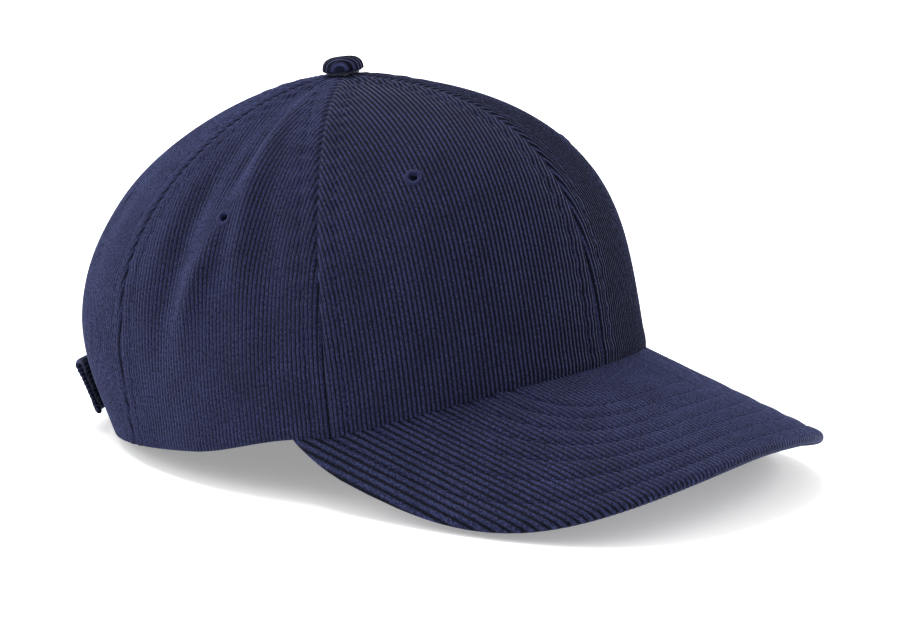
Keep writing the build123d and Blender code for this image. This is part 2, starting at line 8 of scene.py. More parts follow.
import bmesh
import bpy
import numpy as np
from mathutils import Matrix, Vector


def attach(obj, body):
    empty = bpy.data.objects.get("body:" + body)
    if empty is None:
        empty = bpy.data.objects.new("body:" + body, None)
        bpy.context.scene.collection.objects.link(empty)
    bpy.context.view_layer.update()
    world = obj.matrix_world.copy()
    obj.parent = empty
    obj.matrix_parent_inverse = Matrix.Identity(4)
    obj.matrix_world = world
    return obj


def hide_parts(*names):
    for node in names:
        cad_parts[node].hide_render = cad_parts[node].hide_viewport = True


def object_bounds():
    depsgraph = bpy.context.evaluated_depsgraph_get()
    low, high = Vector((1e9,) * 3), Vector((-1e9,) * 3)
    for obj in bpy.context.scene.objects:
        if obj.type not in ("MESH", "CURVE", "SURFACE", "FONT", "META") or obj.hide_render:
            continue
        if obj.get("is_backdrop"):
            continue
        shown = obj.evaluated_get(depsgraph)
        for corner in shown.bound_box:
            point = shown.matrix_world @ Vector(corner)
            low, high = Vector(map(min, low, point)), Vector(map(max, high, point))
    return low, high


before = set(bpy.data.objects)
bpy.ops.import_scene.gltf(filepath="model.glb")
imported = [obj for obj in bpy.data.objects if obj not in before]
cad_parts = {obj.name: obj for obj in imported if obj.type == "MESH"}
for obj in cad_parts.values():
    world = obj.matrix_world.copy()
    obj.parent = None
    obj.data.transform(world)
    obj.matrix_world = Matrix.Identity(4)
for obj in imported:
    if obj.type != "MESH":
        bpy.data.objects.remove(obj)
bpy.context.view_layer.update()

# ---------------------------------------------------------------- table, light and camera
# The cap stands on a plain white table under a wide soft light, in an all-white room,
# and is seen from its front right, a little above the table.
AIM = Vector((0.0, 0.00296, 0.0694))
CAMERA_DISTANCE = 1.6
CAMERA_AZIMUTH = np.radians(-51.8)
CAMERA_ELEVATION = np.radians(12.0)
outwards = Vector((np.sin(CAMERA_AZIMUTH) * np.cos(CAMERA_ELEVATION),
                   -np.cos(CAMERA_AZIMUTH) * np.cos(CAMERA_ELEVATION), np.sin(CAMERA_ELEVATION)))
camera = bpy.data.objects.new("camera", bpy.data.cameras.new("camera"))
bpy.context.scene.collection.objects.link(camera)
camera.location = AIM + CAMERA_DISTANCE * outwards
camera.rotation_euler = outwards.to_track_quat("Z", "Y").to_euler()
camera.data.lens = 183.7
camera.data.shift_x = 0.0263
camera.data.shift_y = -0.0569
camera.data.clip_end = 60.0
bpy.context.scene.camera = camera
bpy.context.scene.view_settings.view_transform = "Standard"


def linear(hex_colour):
    """sRGB hex to linear RGBA: each channel c becomes ((c + 0.055) / 1.055) ** 2.4."""
    srgb = np.array([int(hex_colour[i:i + 2], 16) for i in (1, 3, 5)]) / 255
    return (*np.where(srgb < 0.04045, srgb / 12.92, ((srgb + 0.055) / 1.055) ** 2.4), 1.0)


def add_node(material, kind, settings=(), **links):
    """Adds one node with its settings; a link or a fixed value goes to each named input."""
    tree = material.node_tree
    made = tree.nodes.new("ShaderNode" + kind)
    for key, value in dict(settings).items():
        setattr(made, key, value)
    for key, value in links.items():
        name = key.replace("_", " ")
        socket = made.inputs[int(key[1:])] if key[1:].isdigit() else made.inputs[name]
        if isinstance(value, bpy.types.NodeSocket):
            tree.links.new(value, socket)
        else:
            socket.default_value = value
    return made


def new_material(name):
    material = bpy.data.materials.new(name)
    material.use_nodes = True
    material.node_tree.nodes.clear()
    return material


def finish_material(material, **sockets):
    """Principled shader with these sockets, wired to the output."""
    shader = add_node(material, "BsdfPrincipled", **sockets)
    add_node(material, "OutputMaterial", Surface=shader.outputs[0])
    return material


def ramp(material, share, dark, light, low=0.0, high=1.0):
    """Colour that goes from dark where the share is low to light where it is high."""
    made = add_node(material, "ValToRGB", Fac=share)
    for stop, place, colour in zip(made.color_ramp.elements, (low, high), (dark, light)):
        stop.position = place
        stop.color = linear(colour)
    return made.outputs[0]


TABLE_GLOW = 0.30      # the table is lit from below too, which keeps its shadows pale
table_paint = new_material("matt_white_table_acrylic")   # opal sheet: soft, almost no gloss
grain = add_node(table_paint, "TexNoise", Scale=180.0, Detail=3.0)
finish_material(table_paint, Base_Color=ramp(table_paint, grain.outputs[0], "#F4F4F4", "#FAFAFA"),
                Roughness=0.9, Specular_IOR_Level=0.1, Emission_Color=linear("#FFFFFF"),
                Emission_Strength=TABLE_GLOW)
TABLE_HALF = 14.0
table_mesh = bpy.data.meshes.new("table")
table_mesh.from_pydata([(x, y, 0.0) for x in (-TABLE_HALF, TABLE_HALF)
                        for y in (-TABLE_HALF, TABLE_HALF)], [], [(0, 2, 3, 1)])
table = bpy.data.objects.new("table", table_mesh)
bpy.context.scene.collection.objects.link(table)
table_mesh.materials.append(table_paint)
table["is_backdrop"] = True

world = bpy.data.worlds.new("white_room")
world.use_nodes = True
world.node_tree.nodes["Background"].inputs["Color"].default_value = (1.0, 1.0, 1.0, 1.0)
world.node_tree.nodes["Background"].inputs["Strength"].default_value = 0.82
bpy.context.scene.world = world
LAMP_SIZE = 1.0
for name, place, power in (("top_light", (0.1, 0.5, 1.6), 26.0),
                           ("right_light", (1.7, -0.9, 0.8), 26.0),
                           ("back_light", (-0.9, 1.6, 0.9), 16.0)):
    lamp = bpy.data.objects.new(name, bpy.data.lights.new(name, "AREA"))
    bpy.context.scene.collection.objects.link(lamp)
    lamp.location = place
    lamp.rotation_euler = (Vector(place) - AIM).to_track_quat("Z", "Y").to_euler()
    lamp.data.size = LAMP_SIZE
    lamp.data.energy = power

# ---------------------------------------------------------------- crown panels
# Six gores of 16-wale navy cotton corduroy, cut with the wales along each gore's middle and
# joined by seams that are pressed open and stitched down each side. The rim is turned in.
FRONT_LENGTH, BACK_LENGTH, HALF_WIDTH, CROWN_HEIGHT = 98.7, 102.6, 85.3, 117.7
FRONT_UPRIGHT, ROUNDNESS, ROUNDNESS_FRONT = 0.68, 1.246, 0.372
BULGE = (0.018, -0.258, 0.078)
STAND_TILT = np.radians(8.5)
STAND_SHIFT = (0.0, 22.4008, 14.2183)
TOP_HOLE_RADIUS = 2.6
CORDUROY = 1.2
PEAK_DROP, PEAK_RADIUS, PEAK_CURL, CURL_AT = np.radians(22.9), 167.9, 14.1, 80.0
PEAK_RIM_HEIGHT, PEAK_SEAM_GAP = 13.5, 0.3
PEAK_CORNER, RIM_BLEND = np.radians(74.0), np.radians(25.0)
WALE = 1.6                 # one wale and its groove
WALE_RELIEF = 0.17         # above and below the middle of the pile
SIDE_SEAM, BACK_SEAM = 62.0, 125.2
SEAMS = {"front": (0.0, SIDE_SEAM), "side": (SIDE_SEAM, BACK_SEAM), "back": (BACK_SEAM, 180.0)}
SIDES = {"right": 1, "left": -1}       # the wearer's
STITCH_FROM_SEAM = 6.3
ARCH_HALF_WIDTH, ARCH_STRAIGHT = 34.0, 10.0
EYELETS = {"front": 35.0, "side": 92.4, "back": 152.0}
EYELET_HEIGHT, EYELET_HOLE = 0.50, 2.1
# Soft dents and folds of the empty crown: angle round from the front and share of the height of
# the middle, half length and half width in mm, lean in degrees, and depth in mm.
FOLDS = ((104.5, 0.60, 34, 6.5, -5, -3.6), (86.0, 0.74, 24, 5.5, 0, 2.6),
         (97.0, 0.50, 19, 4.6, -18, 2.4), (94.0, 0.80, 14, 4.5, -10, -2.0),
         (78.0, 0.52, 26, 7.0, 6, -1.4), (131.0, 0.40, 8, 16, -12, -1.1),
         (135.0, 0.30, 7, 14, -16, 0.6), (141.0, 0.62, 20, 8, 8, -1.0),
         (47.0, 0.66, 26, 9, -7, -0.8), (38.0, 0.34, 22, 9, 10, 0.5),
         (16.0, 0.55, 26, 8, -4, -0.6), (-12.0, 0.50, 30, 9, 3, -0.8),
         (-38.0, 0.62, 24, 8, -8, 0.7), (-74.0, 0.60, 28, 7, 10, -1.6),
         (-90.0, 0.48, 24, 7, -12, 1.5), (-104.0, 0.66, 26, 7, 6, -1.9),
         (-118.0, 0.40, 9, 15, 14, -0.9), (-140.0, 0.58, 24, 9, -9, 1.1),
         (-158.0, 0.62, 18, 8, 12, -1.1), (162.0, 0.70, 20, 8, -10, 0.9))


def to_row(points):
    """Leans points back by STAND_TILT about X, shifts them onto the table, mm to metres."""
    x, y, z = np.moveaxis(np.asarray(points, float), -1, 0)
    c, s = np.cos(STAND_TILT), np.sin(STAND_TILT)
    return np.stack([x, c * y + s * z + STAND_SHIFT[1], c * z - s * y + STAND_SHIFT[2]], -1) / 1000


def half_length(phi):
    return np.where(np.cos(phi) > 0, FRONT_LENGTH, BACK_LENGTH)


def oval_angle(polar):
    """The oval's own angle for a direction in degrees seen from the button's axis."""
    polar = np.radians(polar)
    return np.arctan2(np.sin(polar) / HALF_WIDTH, np.cos(polar) / half_length(polar))


def peak_top(x, y):
    """Straight down the slope, bent across: R - sqrt(R^2 - x^2) plus a fourth-power curl."""
    across = PEAK_RADIUS - np.sqrt(PEAK_RADIUS ** 2 - x * x) + PEAK_CURL * (x / CURL_AT) ** 4
    return PEAK_RIM_HEIGHT + (y + FRONT_LENGTH) * np.tan(PEAK_DROP) - across / np.cos(PEAK_DROP)


def smooth(share):
    """Eases from 0 to 1: 3 s^2 - 2 s^3."""
    return share * share * (3 - 2 * share)


def rim_height(phi):
    """On the peak between its corners, then a smooth step down to zero."""
    held = np.clip(np.abs(phi), 0, PEAK_CORNER)
    on_peak = peak_top(-HALF_WIDTH * np.sin(held), -FRONT_LENGTH * np.cos(held)) + PEAK_SEAM_GAP
    share = np.clip((np.abs(phi) - PEAK_CORNER) / RIM_BLEND, 0, 1)
    return on_peak * (1 - smooth(share))


def crown(phi, t):
    """The rim's oval times cos(turn)^a, rising as sin(turn)^b, with a swell above the rim."""
    turn = np.clip(t, 0, 1) * np.pi / 2
    rise = np.sin(turn) ** (1 - FRONT_UPRIGHT * (1 + np.cos(phi)) / 2)
    swell = BULGE[0] + BULGE[1] * np.cos(phi) + BULGE[2] * np.cos(2 * phi)
    width = np.cos(turn) ** (ROUNDNESS + ROUNDNESS_FRONT * np.cos(phi))
    width = width * (1 + swell * np.sin(np.pi * t) * (1 - t))
    low = rim_height(phi)
    return np.stack([-HALF_WIDTH * np.sin(phi) * width, -half_length(phi) * np.cos(phi) * width,
                     low + (CROWN_HEIGHT - low) * rise], -1)


def unit(vectors):
    return vectors / np.maximum(np.linalg.norm(vectors, axis=-1, keepdims=True), 1e-12)


def crown_normal(phi, t):
    """Cross product of two short steps, up the cloth and round it."""
    low, high = np.maximum(t - 1e-4, 0), np.minimum(t + 1e-4, 1 - 1e-6)
    return unit(np.cross(crown(phi, high) - crown(phi, low),
                         crown(phi + 1e-4, t) - crown(phi - 1e-4, t)))


def folds(phi, t):
    """Leaning bell shapes, each depth * exp(-(along/L)^2 - (across/W)^2), plus a faint sway."""
    place = crown(phi, t)
    rise = 0.45 * np.sin(place[..., 2] / 17 + 2.1 * phi) * np.sin(3.1 * phi + place[..., 2] / 41)
    rise = rise * np.clip(place[..., 2] / 30, 0, 1) * np.clip((1 - t) * 8, 0, 1)
    for angle, share, half_long, half_wide, lean, depth in FOLDS:
        around = (phi - np.radians(angle)) * (HALF_WIDTH + 5) * np.cos(t * np.pi / 2) ** 0.6
        up = place[..., 2] - share * CROWN_HEIGHT
        c, s = np.cos(np.radians(lean)), np.sin(np.radians(lean))
        along, across = up * c + around * s, around * c - up * s
        rise = rise + depth * np.exp(-(along / half_long) ** 2 - (across / half_wide) ** 2)
    return rise


def cloth(phi, t, depth=0.0):
    """A point of the crown's cloth, this deep under its outside, folds and all."""
    lift = folds(phi, t) - depth
    return crown(phi, t) + crown_normal(phi, t) * lift[..., None]


def running_length(points, axis=0):
    """Length along a line or grid of points, from zero at its first row or column."""
    steps = np.linalg.norm(np.diff(points, axis=axis), axis=-1)
    return np.insert(np.cumsum(steps, axis), 0, 0.0, axis)


def t_of_length(phi, lengths, stop_radius=TOP_HOLE_RADIUS, shares=False):
    """Inverts the running length of each meridian; lengths is an array of rows by columns."""
    fine = np.linspace(0, 1, 500) ** 3.2
    points = crown(phi[None, :], fine[:, None])
    run = running_length(points)
    radius = np.hypot(points[..., 0], points[..., 1])
    wanted = []
    for column in range(phi.size):
        top = np.interp(-stop_radius, -radius[:, column], run[:, column])
        scale = top if shares else 1.0
        wanted.append(np.interp(np.minimum(lengths[:, column] * scale, top), run[:, column], fine))
    return np.array(wanted).T


def grid_quads(rows, columns, start=0):
    """Quads of a grid of points, row by row."""
    corner = start + np.arange(rows - 1)[:, None] * columns + np.arange(columns - 1)[None, :]
    return np.stack([corner, corner + columns, corner + columns + 1, corner + 1], -1).reshape(-1, 4)


def tube_quads(rows, around):
    """Quads of a tube from rows of points round it."""
    row, place = np.arange(rows - 1)[:, None] * around, np.arange(around)[None, :]
    after = (place + 1) % around
    corners = [row + place, row + after, row + around + after, row + around + place]
    return np.stack(corners, -1).reshape(-1, 4)


def closing_strip(fine, coarse, step):
    """Triangles between a row of fine points and every step-th point's coarse row."""
    place = np.arange(len(fine) - 1)
    switch = (step + 1) // 2
    near = place // step + (place % step >= switch)
    first = np.stack([fine[:-1], fine[1:], coarse[near]], -1)
    tip = fine[np.arange(len(coarse) - 1) * step + switch]
    return np.concatenate([first, np.stack([coarse[:-1], tip, coarse[1:]], -1)])


def new_piece(name, points, polygons, material, nodes=(), body="crown",
              pattern=None):
    """A mesh in the row frame from points in mm and arrays of quads or triangles."""
    mesh = bpy.data.meshes.new(name)
    points = np.asarray(points, float).reshape(-1, 3)
    mesh.vertices.add(len(points))
    mesh.vertices.foreach_set("co", to_row(points).ravel())
    corners = np.concatenate([p.ravel() for p in polygons])
    starts = np.cumsum([0] + [p.shape[1] for p in polygons for _ in range(len(p))])[:-1]
    mesh.loops.add(len(corners))
    mesh.loops.foreach_set("vertex_index", corners.astype(np.int32))
    mesh.polygons.add(len(starts))
    mesh.polygons.foreach_set("loop_start", starts.astype(np.int32))
    if pattern is not None:
        layer = mesh.attributes.new("cloth_mm", "FLOAT_VECTOR", "POINT")
        pattern = np.asarray(pattern, float).reshape(-1, 2)
        layer.data.foreach_set("vector", np.column_stack([pattern, np.zeros(len(pattern))]).ravel())
    mesh.update(calc_edges=True)
    mesh.validate()
    shaped = bmesh.new()
    shaped.from_mesh(mesh)
    loose = [v for v in shaped.verts if not v.link_faces]
    bmesh.ops.delete(shaped, geom=loose, context="VERTS")
    bmesh.ops.recalc_face_normals(shaped, faces=shaped.faces)
    shaped.to_mesh(mesh)
    shaped.free()
    mesh.polygons.foreach_set("use_smooth", np.ones(len(mesh.polygons), bool))
    mesh.materials.append(material)
    piece = bpy.data.objects.new(name, mesh)
    bpy.context.scene.collection.objects.link(piece)
    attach(piece, body)
    if nodes:
        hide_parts(*nodes)
    return piece


def cloth_shell(outer, inner, row_step=1, column_step=1, hem=None):
    """Points and faces of a closed cloth: a fine outside that may start with a turned hem, a
    coarser inside, and strips of triangles round the edge."""
    hem = outer[:0] if hem is None else hem
    whole = np.concatenate([hem, outer])
    rows, columns = whole.shape[:2]
    in_rows, in_columns = inner.shape[:2]
    outside = np.arange(rows * columns).reshape(rows, columns)
    inside = rows * columns + np.arange(in_rows * in_columns).reshape(in_rows, in_columns)
    quads = np.concatenate([grid_quads(rows, columns),
                            grid_quads(in_rows, in_columns, rows * columns)[:, ::-1]])
    strips = [closing_strip(outside[0], inside[0], column_step),
              closing_strip(outside[-1], inside[-1], column_step)]
    for edge in (0, -1):
        strips.append(closing_strip(outside[len(hem):, edge], inside[:, edge], row_step))
        ends = outside[:len(hem) + 1, edge]
        strips.append(np.stack([ends[:-1], ends[1:], np.full(len(hem), inside[0, edge])], -1))
    points = np.concatenate([whole.reshape(-1, 3), inner.reshape(-1, 3)])
    return points, [quads, np.concatenate(strips)]


def surface_normals(grid):
    """Cross product of the grid's row and column steps."""
    return unit(np.cross(np.gradient(grid, axis=0), np.gradient(grid, axis=1)))


def wale_relief(across):
    """Rounded ridges one wale apart: relief * cos(2 pi across / wale)."""
    return WALE_RELIEF * np.cos(2 * np.pi * across / WALE)


def corduroy(name, pile="#14172C", groove_painted_shade="#05060D", worn="#363B60"):
    """Cut-pile cotton corduroy: matt deep-navy ridges whose nap lights up at a grazing angle,
    over grooves painted almost black as shade, with short tufts along each wale and faint
    brushed patches."""
    material = new_material(name)
    place = add_node(material, "Attribute", {"attribute_name": "cloth_mm"}).outputs["Vector"]
    split = add_node(material, "SeparateXYZ", Vector=place)
    stray = add_node(material, "TexNoise", Vector=place, Scale=0.8, Detail=2.0)
    bent = add_node(material, "Math", {"operation": "MULTIPLY_ADD"}, _0=stray.outputs[0], _1=0.5,
                    _2=split.outputs[0])
    turn = add_node(material, "Math", {"operation": "MULTIPLY"}, _0=bent.outputs[0],
                    _1=2 * np.pi / WALE)
    wave = add_node(material, "Math", {"operation": "COSINE"}, _0=turn.outputs[0])
    ridge = add_node(material, "MapRange", Value=wave.outputs[0], From_Min=-1.0, From_Max=0.55)
    tuft_place = add_node(material, "VectorMath", {"operation": "MULTIPLY"}, _0=place,
                          _1=(2.6, 1.1, 1.0))
    tufts = add_node(material, "TexNoise", Vector=tuft_place.outputs[0], Scale=1.0, Detail=3.0,
                     Roughness=0.6)
    brushed = add_node(material, "TexNoise", Vector=place, Scale=0.07, Detail=2.0, Roughness=0.5)
    nap = ramp(material, tufts.outputs[0], pile, worn, 0.38, 0.66)
    patch = add_node(material, "MapRange", Value=brushed.outputs[0], From_Min=0.3, From_Max=0.7,
                     To_Min=0.82, To_Max=1.12)
    tone = add_node(material, "HueSaturation", Color=nap, Value=patch.outputs[0])
    # painted shade: the colour runs to almost black down each groove between the wales, where shade
    # falls
    colour = add_node(material, "Mix", {"data_type": "RGBA"}, _0=ridge.outputs[0],
                      _6=linear(groove_painted_shade), _7=tone.outputs[0])
    height = add_node(material, "Math", {"operation": "MULTIPLY_ADD"}, _0=tufts.outputs[0], _1=0.5,
                      _2=ridge.outputs[0])
    bump = add_node(material, "Bump", Height=height.outputs[0], Strength=0.7, Distance=0.00016)
    finish_material(material, Base_Color=colour.outputs[2], Roughness=0.85, Specular_IOR_Level=0.08,
                    Sheen_Weight=0.42, Sheen_Roughness=0.26, Sheen_Tint=linear("#A3AEE0"),
                    Normal=bump.outputs[0])
    return material


navy_corduroy = corduroy("navy_cotton_corduroy")


def stitches(name, paths, body="crown", pitch=3.1, length=2.2, radius=0.17, sink=0.05):
    """Thread dashes along paths of points with normals: each is a bent rod whose ends dive into
    the cloth, lifted by 1 - a^2 over a from -1 to 1 along it."""
    middles, directions, lifts = [], [], []
    for points, normals in paths:
        run = running_length(points)
        centre = np.arange(pitch / 2, run[-1], pitch)
        pick = [np.stack([np.interp(centre + move, run, points[:, i]) for i in range(3)], -1)
                for move in (-length / 2, 0, length / 2)]
        middles.append(pick[1])
        directions.append(unit(pick[2] - pick[0]))
        lifts.append(unit(np.stack([np.interp(centre, run, normals[:, i]) for i in range(3)], -1)))
    middle, direction, lift = (np.concatenate(a) for a in (middles, directions, lifts))
    side = np.cross(direction, lift)
    a = np.linspace(-1, 1, 6)[None, :, None, None]
    turn = np.linspace(0, 2 * np.pi, 6, endpoint=False)[None, None, :, None]
    thick = radius * np.sqrt(1.05 - a ** 4)
    points = (middle[:, None, None] + direction[:, None, None] * a * length / 2
              + lift[:, None, None] * (radius * 1.2 * (1 - a * a) - sink + thick * np.sin(turn))
              + side[:, None, None] * thick * np.cos(turn))
    ends = [[3, 2, 1, 0], [5, 4, 3, 0], [30, 31, 32, 33], [30, 33, 34, 35]]
    rod = np.concatenate([tube_quads(6, 6), ends])
    quads = (np.arange(len(middle))[:, None, None] * 36 + rod[None]).reshape(-1, 4)
    lengthwise = np.broadcast_to(a * length, points.shape[:3] + (1,))[..., 0]
    round_thread = np.broadcast_to(turn * radius, points.shape[:3] + (1,))[..., 0]
    return new_piece(name, points, [quads], navy_thread, body=body,
                     pattern=np.stack([lengthwise, round_thread], -1))


def twisted_thread(name, dark, light):
    """Polyester-cotton sewing thread: two plies twisted together, with a slight silk gloss."""
    material = new_material(name)
    place = add_node(material, "Attribute", {"attribute_name": "cloth_mm"}).outputs["Vector"]
    plies = add_node(material, "TexWave", {"bands_direction": "DIAGONAL"}, Vector=place, Scale=1.1,
                     Distortion=0.4)
    colour = ramp(material, plies.outputs[0], dark, light)
    bump = add_node(material, "Bump", Height=plies.outputs[0], Strength=0.4, Distance=0.0001)
    return finish_material(material, Base_Color=colour, Roughness=0.6,
                           Specular_IOR_Level=0.12, Sheen_Weight=0.15,
                           Sheen_Tint=linear("#8F9CE8"), Normal=bump.outputs[0])


navy_thread = twisted_thread("navy_sewing_thread", "#0D1029", "#1F244A")

HEM_ROWS = 4
ROW_STEP, COLUMN_STEP = 5, 6
PANEL_ROWS, PANEL_COLUMNS = 44, 58     # coarse cells of the inside; the outside is finer


def eyelet_place(name, side):
    """Middle of an eyelet on the outside of the cloth, and its normal."""
    phi = np.array([side * oval_angle(EYELETS[name])])
    t = t_of_length(phi, np.array([[EYELET_HEIGHT]]), shares=True)[0]
    return cloth(phi, t)[0], crown_normal(phi, t)[0]


def in_arch(points, grow=0.0):
    """True inside the round-topped opening at the back."""
    x, y, z = np.moveaxis(points, -1, 0)
    half = ARCH_HALF_WIDTH + grow
    rounded = np.hypot(x, z - ARCH_STRAIGHT) < half
    return (y > 0) & (np.abs(x) < half) & ((z < ARCH_STRAIGHT) | rounded)


def crown_panel(name, side_name, side):
    """Columns run round from seam to seam and rows up the cloth, by its length. The relief is the
    wales, a groove at each seam, a swell over the turned edges, and a puckered line of stitching."""
    first, last = (oval_angle(a) if a < 180 else np.pi for a in SEAMS[name])
    first, last = (first, last) if side > 0 else (-last, -first)
    phi = np.linspace(first, last, PANEL_COLUMNS * COLUMN_STEP + 1)
    share = np.linspace(0, 1, PANEL_ROWS * ROW_STEP + 1)
    t = t_of_length(phi, np.repeat(share[:, None], phi.size, 1), shares=True)
    flat = cloth(phi[None, :], t)
    outward = surface_normals(flat)
    across, along = running_length(flat, 1), running_length(flat)
    to_seam = np.minimum(across, across[:, -1:] - across)
    wale = across - across[:, -1:] / 2
    fade = np.clip((1 - share[:, None]) * 12, 0, 1)
    pucker = np.sin(along * 2 * np.pi / 7.3 + 1.7 * np.sin(along / 19)
                    + 3 * (across > across[:, -1:] / 2))
    soft = (-0.85 * np.exp(-(to_seam / 0.9) ** 2) + 0.30 * np.exp(-((to_seam - 3.0) / 2.2) ** 2)
            - 0.22 * np.exp(-((to_seam - STITCH_FROM_SEAM) / 0.8) ** 2)
            + 0.24 * pucker * np.exp(-((to_seam - STITCH_FROM_SEAM) / 3.6) ** 2)) * fade
    soft = soft + (0.25 + 0.2 * np.cos(phi)) * np.exp(-((along - 3.0) / 3.4) ** 2)
    outer = flat + outward * (soft + wale_relief(wale) * np.clip(to_seam / 0.8, 0, 1))[..., None]
    under = np.linspace(np.pi / 2, 0, HEM_ROWS + 1)[:-1, None, None]
    down = unit(flat[0] - flat[1])
    hem = (outer[0] - outward[0] * (CORDUROY / 2) * (1 - np.cos(under))
           + down * CORDUROY / 2 * np.sin(under))
    inner = (flat - outward * (CORDUROY - 0.25))[::ROW_STEP, ::COLUMN_STEP]
    points, (quads, strips) = cloth_shell(outer, inner, ROW_STEP, COLUMN_STEP, hem)
    pattern_outer = np.stack([wale, along], -1)
    pattern = np.concatenate([np.repeat(pattern_outer[:1], HEM_ROWS, 0).reshape(-1, 2),
                              pattern_outer.reshape(-1, 2),
                              pattern_outer[::ROW_STEP, ::COLUMN_STEP].reshape(-1, 2)])
    hole, _ = eyelet_place(name, side)
    kept = []
    for faces in (quads, strips):
        middle = points[faces].mean(1)
        keep = np.linalg.norm(middle - hole, axis=1) > EYELET_HOLE
        kept.append(faces[keep & ~in_arch(middle)])
    new_piece(f"panel_{name}_{side_name}", points, kept, navy_corduroy, pattern=pattern,
              nodes=[f"crown_panel_{name}_{side_name}"])
    paths = []
    for far in (False, True):
        line, normals = [], []
        for row in range(4, len(share) - 14, 3):
            at = across[row, -1] - STITCH_FROM_SEAM if far else STITCH_FROM_SEAM
            if at < STITCH_FROM_SEAM - 0.01 or across[row, -1] < 2 * STITCH_FROM_SEAM + 1:
                continue
            surface = flat[row] + outward[row] * soft[row][:, None]
            point = np.array([np.interp(at, across[row], surface[:, i]) for i in range(3)])
            if in_arch(point, 3.0):
                continue
            line.append(point)
            normals.append([np.interp(at, across[row], outward[row][:, i]) for i in range(3)])
        if len(line) > 2:
            paths.append((np.array(line), np.array(normals)))
    return paths


seam_paths = []
for side_name, side in SIDES.items():
    for name in SEAMS:
        seam_paths += crown_panel(name, side_name, side)
stitches("seam_topstitching", seam_paths)

# ---------------------------------------------------------------- eyelets
# Six air holes worked in navy thread: satin stitches over the cut edge, side by side all round,
# on both faces of the cloth.
EYELET_RADIUS, EYELET_INNER, EYELET_PROUD, EYELET_STITCHES = 3.3, 1.35, 0.45, 34
around = np.linspace(0, 2 * np.pi, EYELET_STITCHES * 6, endpoint=False)[None, :]
section = np.linspace(0, 2 * np.pi, 24, endpoint=False)[:, None]


def closed_quads(rows, columns):
    """Quads of a grid that closes on itself both ways, as a ring's does."""
    r, c = np.arange(rows)[:, None], np.arange(columns)[None, :]
    corner = [r * columns + c, (r + 1) % rows * columns + c,
              (r + 1) % rows * columns + (c + 1) % columns, r * columns + (c + 1) % columns]
    return np.stack(corner, -1).reshape(-1, 4)


for side_name, side in SIDES.items():
    for name in EYELETS:
        middle, outward = eyelet_place(name, side)
        flat_x = unit(np.cross(outward, (0.0, 0.0, 1.0)))
        flat_y = np.cross(outward, flat_x)
        ridge = 0.11 * np.abs(np.sin(around * EYELET_STITCHES / 2)) - 0.05
        squash = np.sign(np.cos(section)) * np.abs(np.cos(section)) ** 0.7
        radial = (EYELET_RADIUS + EYELET_INNER) / 2 + (EYELET_RADIUS - EYELET_INNER) / 2 * squash
        radial = radial + ridge * 0.6 + 0.06 * np.sin(around * 5 + side)
        thickness = CORDUROY / 2 + EYELET_PROUD
        depth = -CORDUROY / 2 + np.sin(section) * (thickness + ridge)
        points = (middle + flat_x * (radial * np.cos(around))[..., None]
                  + flat_y * (radial * np.sin(around))[..., None] + outward * depth[..., None])
        pattern = np.stack([np.broadcast_to(radial * 0.4, depth.shape),
                            np.broadcast_to(around * 2.4, depth.shape)], -1)
        new_piece(f"eyelet_thread_{name}_{side_name}", points, [closed_quads(*depth.shape)],
                  navy_thread, nodes=[f"eyelet_{name}_{side_name}"], pattern=pattern)

# ---------------------------------------------------------------- covered button
# A domed metal shell under a disc of the same corduroy, its wales running straight across;
# it is fixed through the top of the crown by a pronged washer.
BUTTON_RADIUS, BUTTON_HEIGHT, BUTTON_WIDEST, BUTTON_SEAT = 7.2, 6.0, 1.5, 0.1
BUTTON_ROWS, BUTTON_ROUND = 74, 240
angle = np.linspace(0, 2 * np.pi, BUTTON_ROUND, endpoint=False)[None, :]
bend = np.linspace(0, np.pi, BUTTON_ROWS)[:, None]
radius = (BUTTON_RADIUS * np.maximum(np.sin(bend), 1e-4) ** 0.55
          * (1 - 0.05 * np.clip(-np.cos(bend), 0, 1)))
upper = BUTTON_WIDEST + (BUTTON_HEIGHT - BUTTON_WIDEST) * np.abs(np.cos(bend)) ** 0.85
lower = BUTTON_WIDEST * (1 - np.abs(np.cos(bend)) ** 1.4)
height = np.where(bend < np.pi / 2, upper, lower)
radius, height, angle = np.broadcast_arrays(radius, height, angle)
x, y = radius * np.cos(angle), radius * np.sin(angle)
dome = np.stack([x, y, CROWN_HEIGHT + BUTTON_SEAT + height], -1)
across_button = x * np.cos(0.5) + y * np.sin(0.5)
outward = -surface_normals(np.concatenate([dome, dome[:, :1]], 1))[:, :-1]
top_side = np.clip(np.cos(bend) * 4 + 1.2, 0, 1)
dome = dome + outward * (0.8 * wale_relief(across_button) * top_side)[..., None]
new_piece("button_cloth", dome, [tube_quads(BUTTON_ROWS, BUTTON_ROUND)], navy_corduroy,
          nodes=["button_cover"], pattern=np.stack([across_button, x * 0.5], -1))

# ---------------------------------------------------------------- peak
# Corduroy over and under a curved plastic board. The wales run fore and aft and roll over the
# rounded edge; rows of topstitching follow the edge through both cloths and the board.
PEAK_LENGTH, PEAK_HALF_WIDTH, PEAK_WIDEST, PEAK_SQUARENESS = 70.7, 84.6, 23.3, 0.75
PEAK_THICKNESS, PEAK_TUCK = 4.2, 2.0
PEAK_TOP_ROWS, PEAK_UNDER_ROWS, PEAK_COLUMNS = 151, 111, 560
PEAK_ROW_STEP, PEAK_COLUMN_STEP = 5, 7      # the hidden faces are this much coarser
EDGE_ROUND = PEAK_THICKNESS / 2
STITCH_ROW_GAP, STITCH_ROWS = 6.6, 7
corner_x = HALF_WIDTH * np.sin(PEAK_CORNER)
widest_y = -FRONT_LENGTH * np.cos(PEAK_CORNER) - PEAK_WIDEST
tip_reach = FRONT_LENGTH + PEAK_LENGTH * np.cos(PEAK_DROP) + widest_y


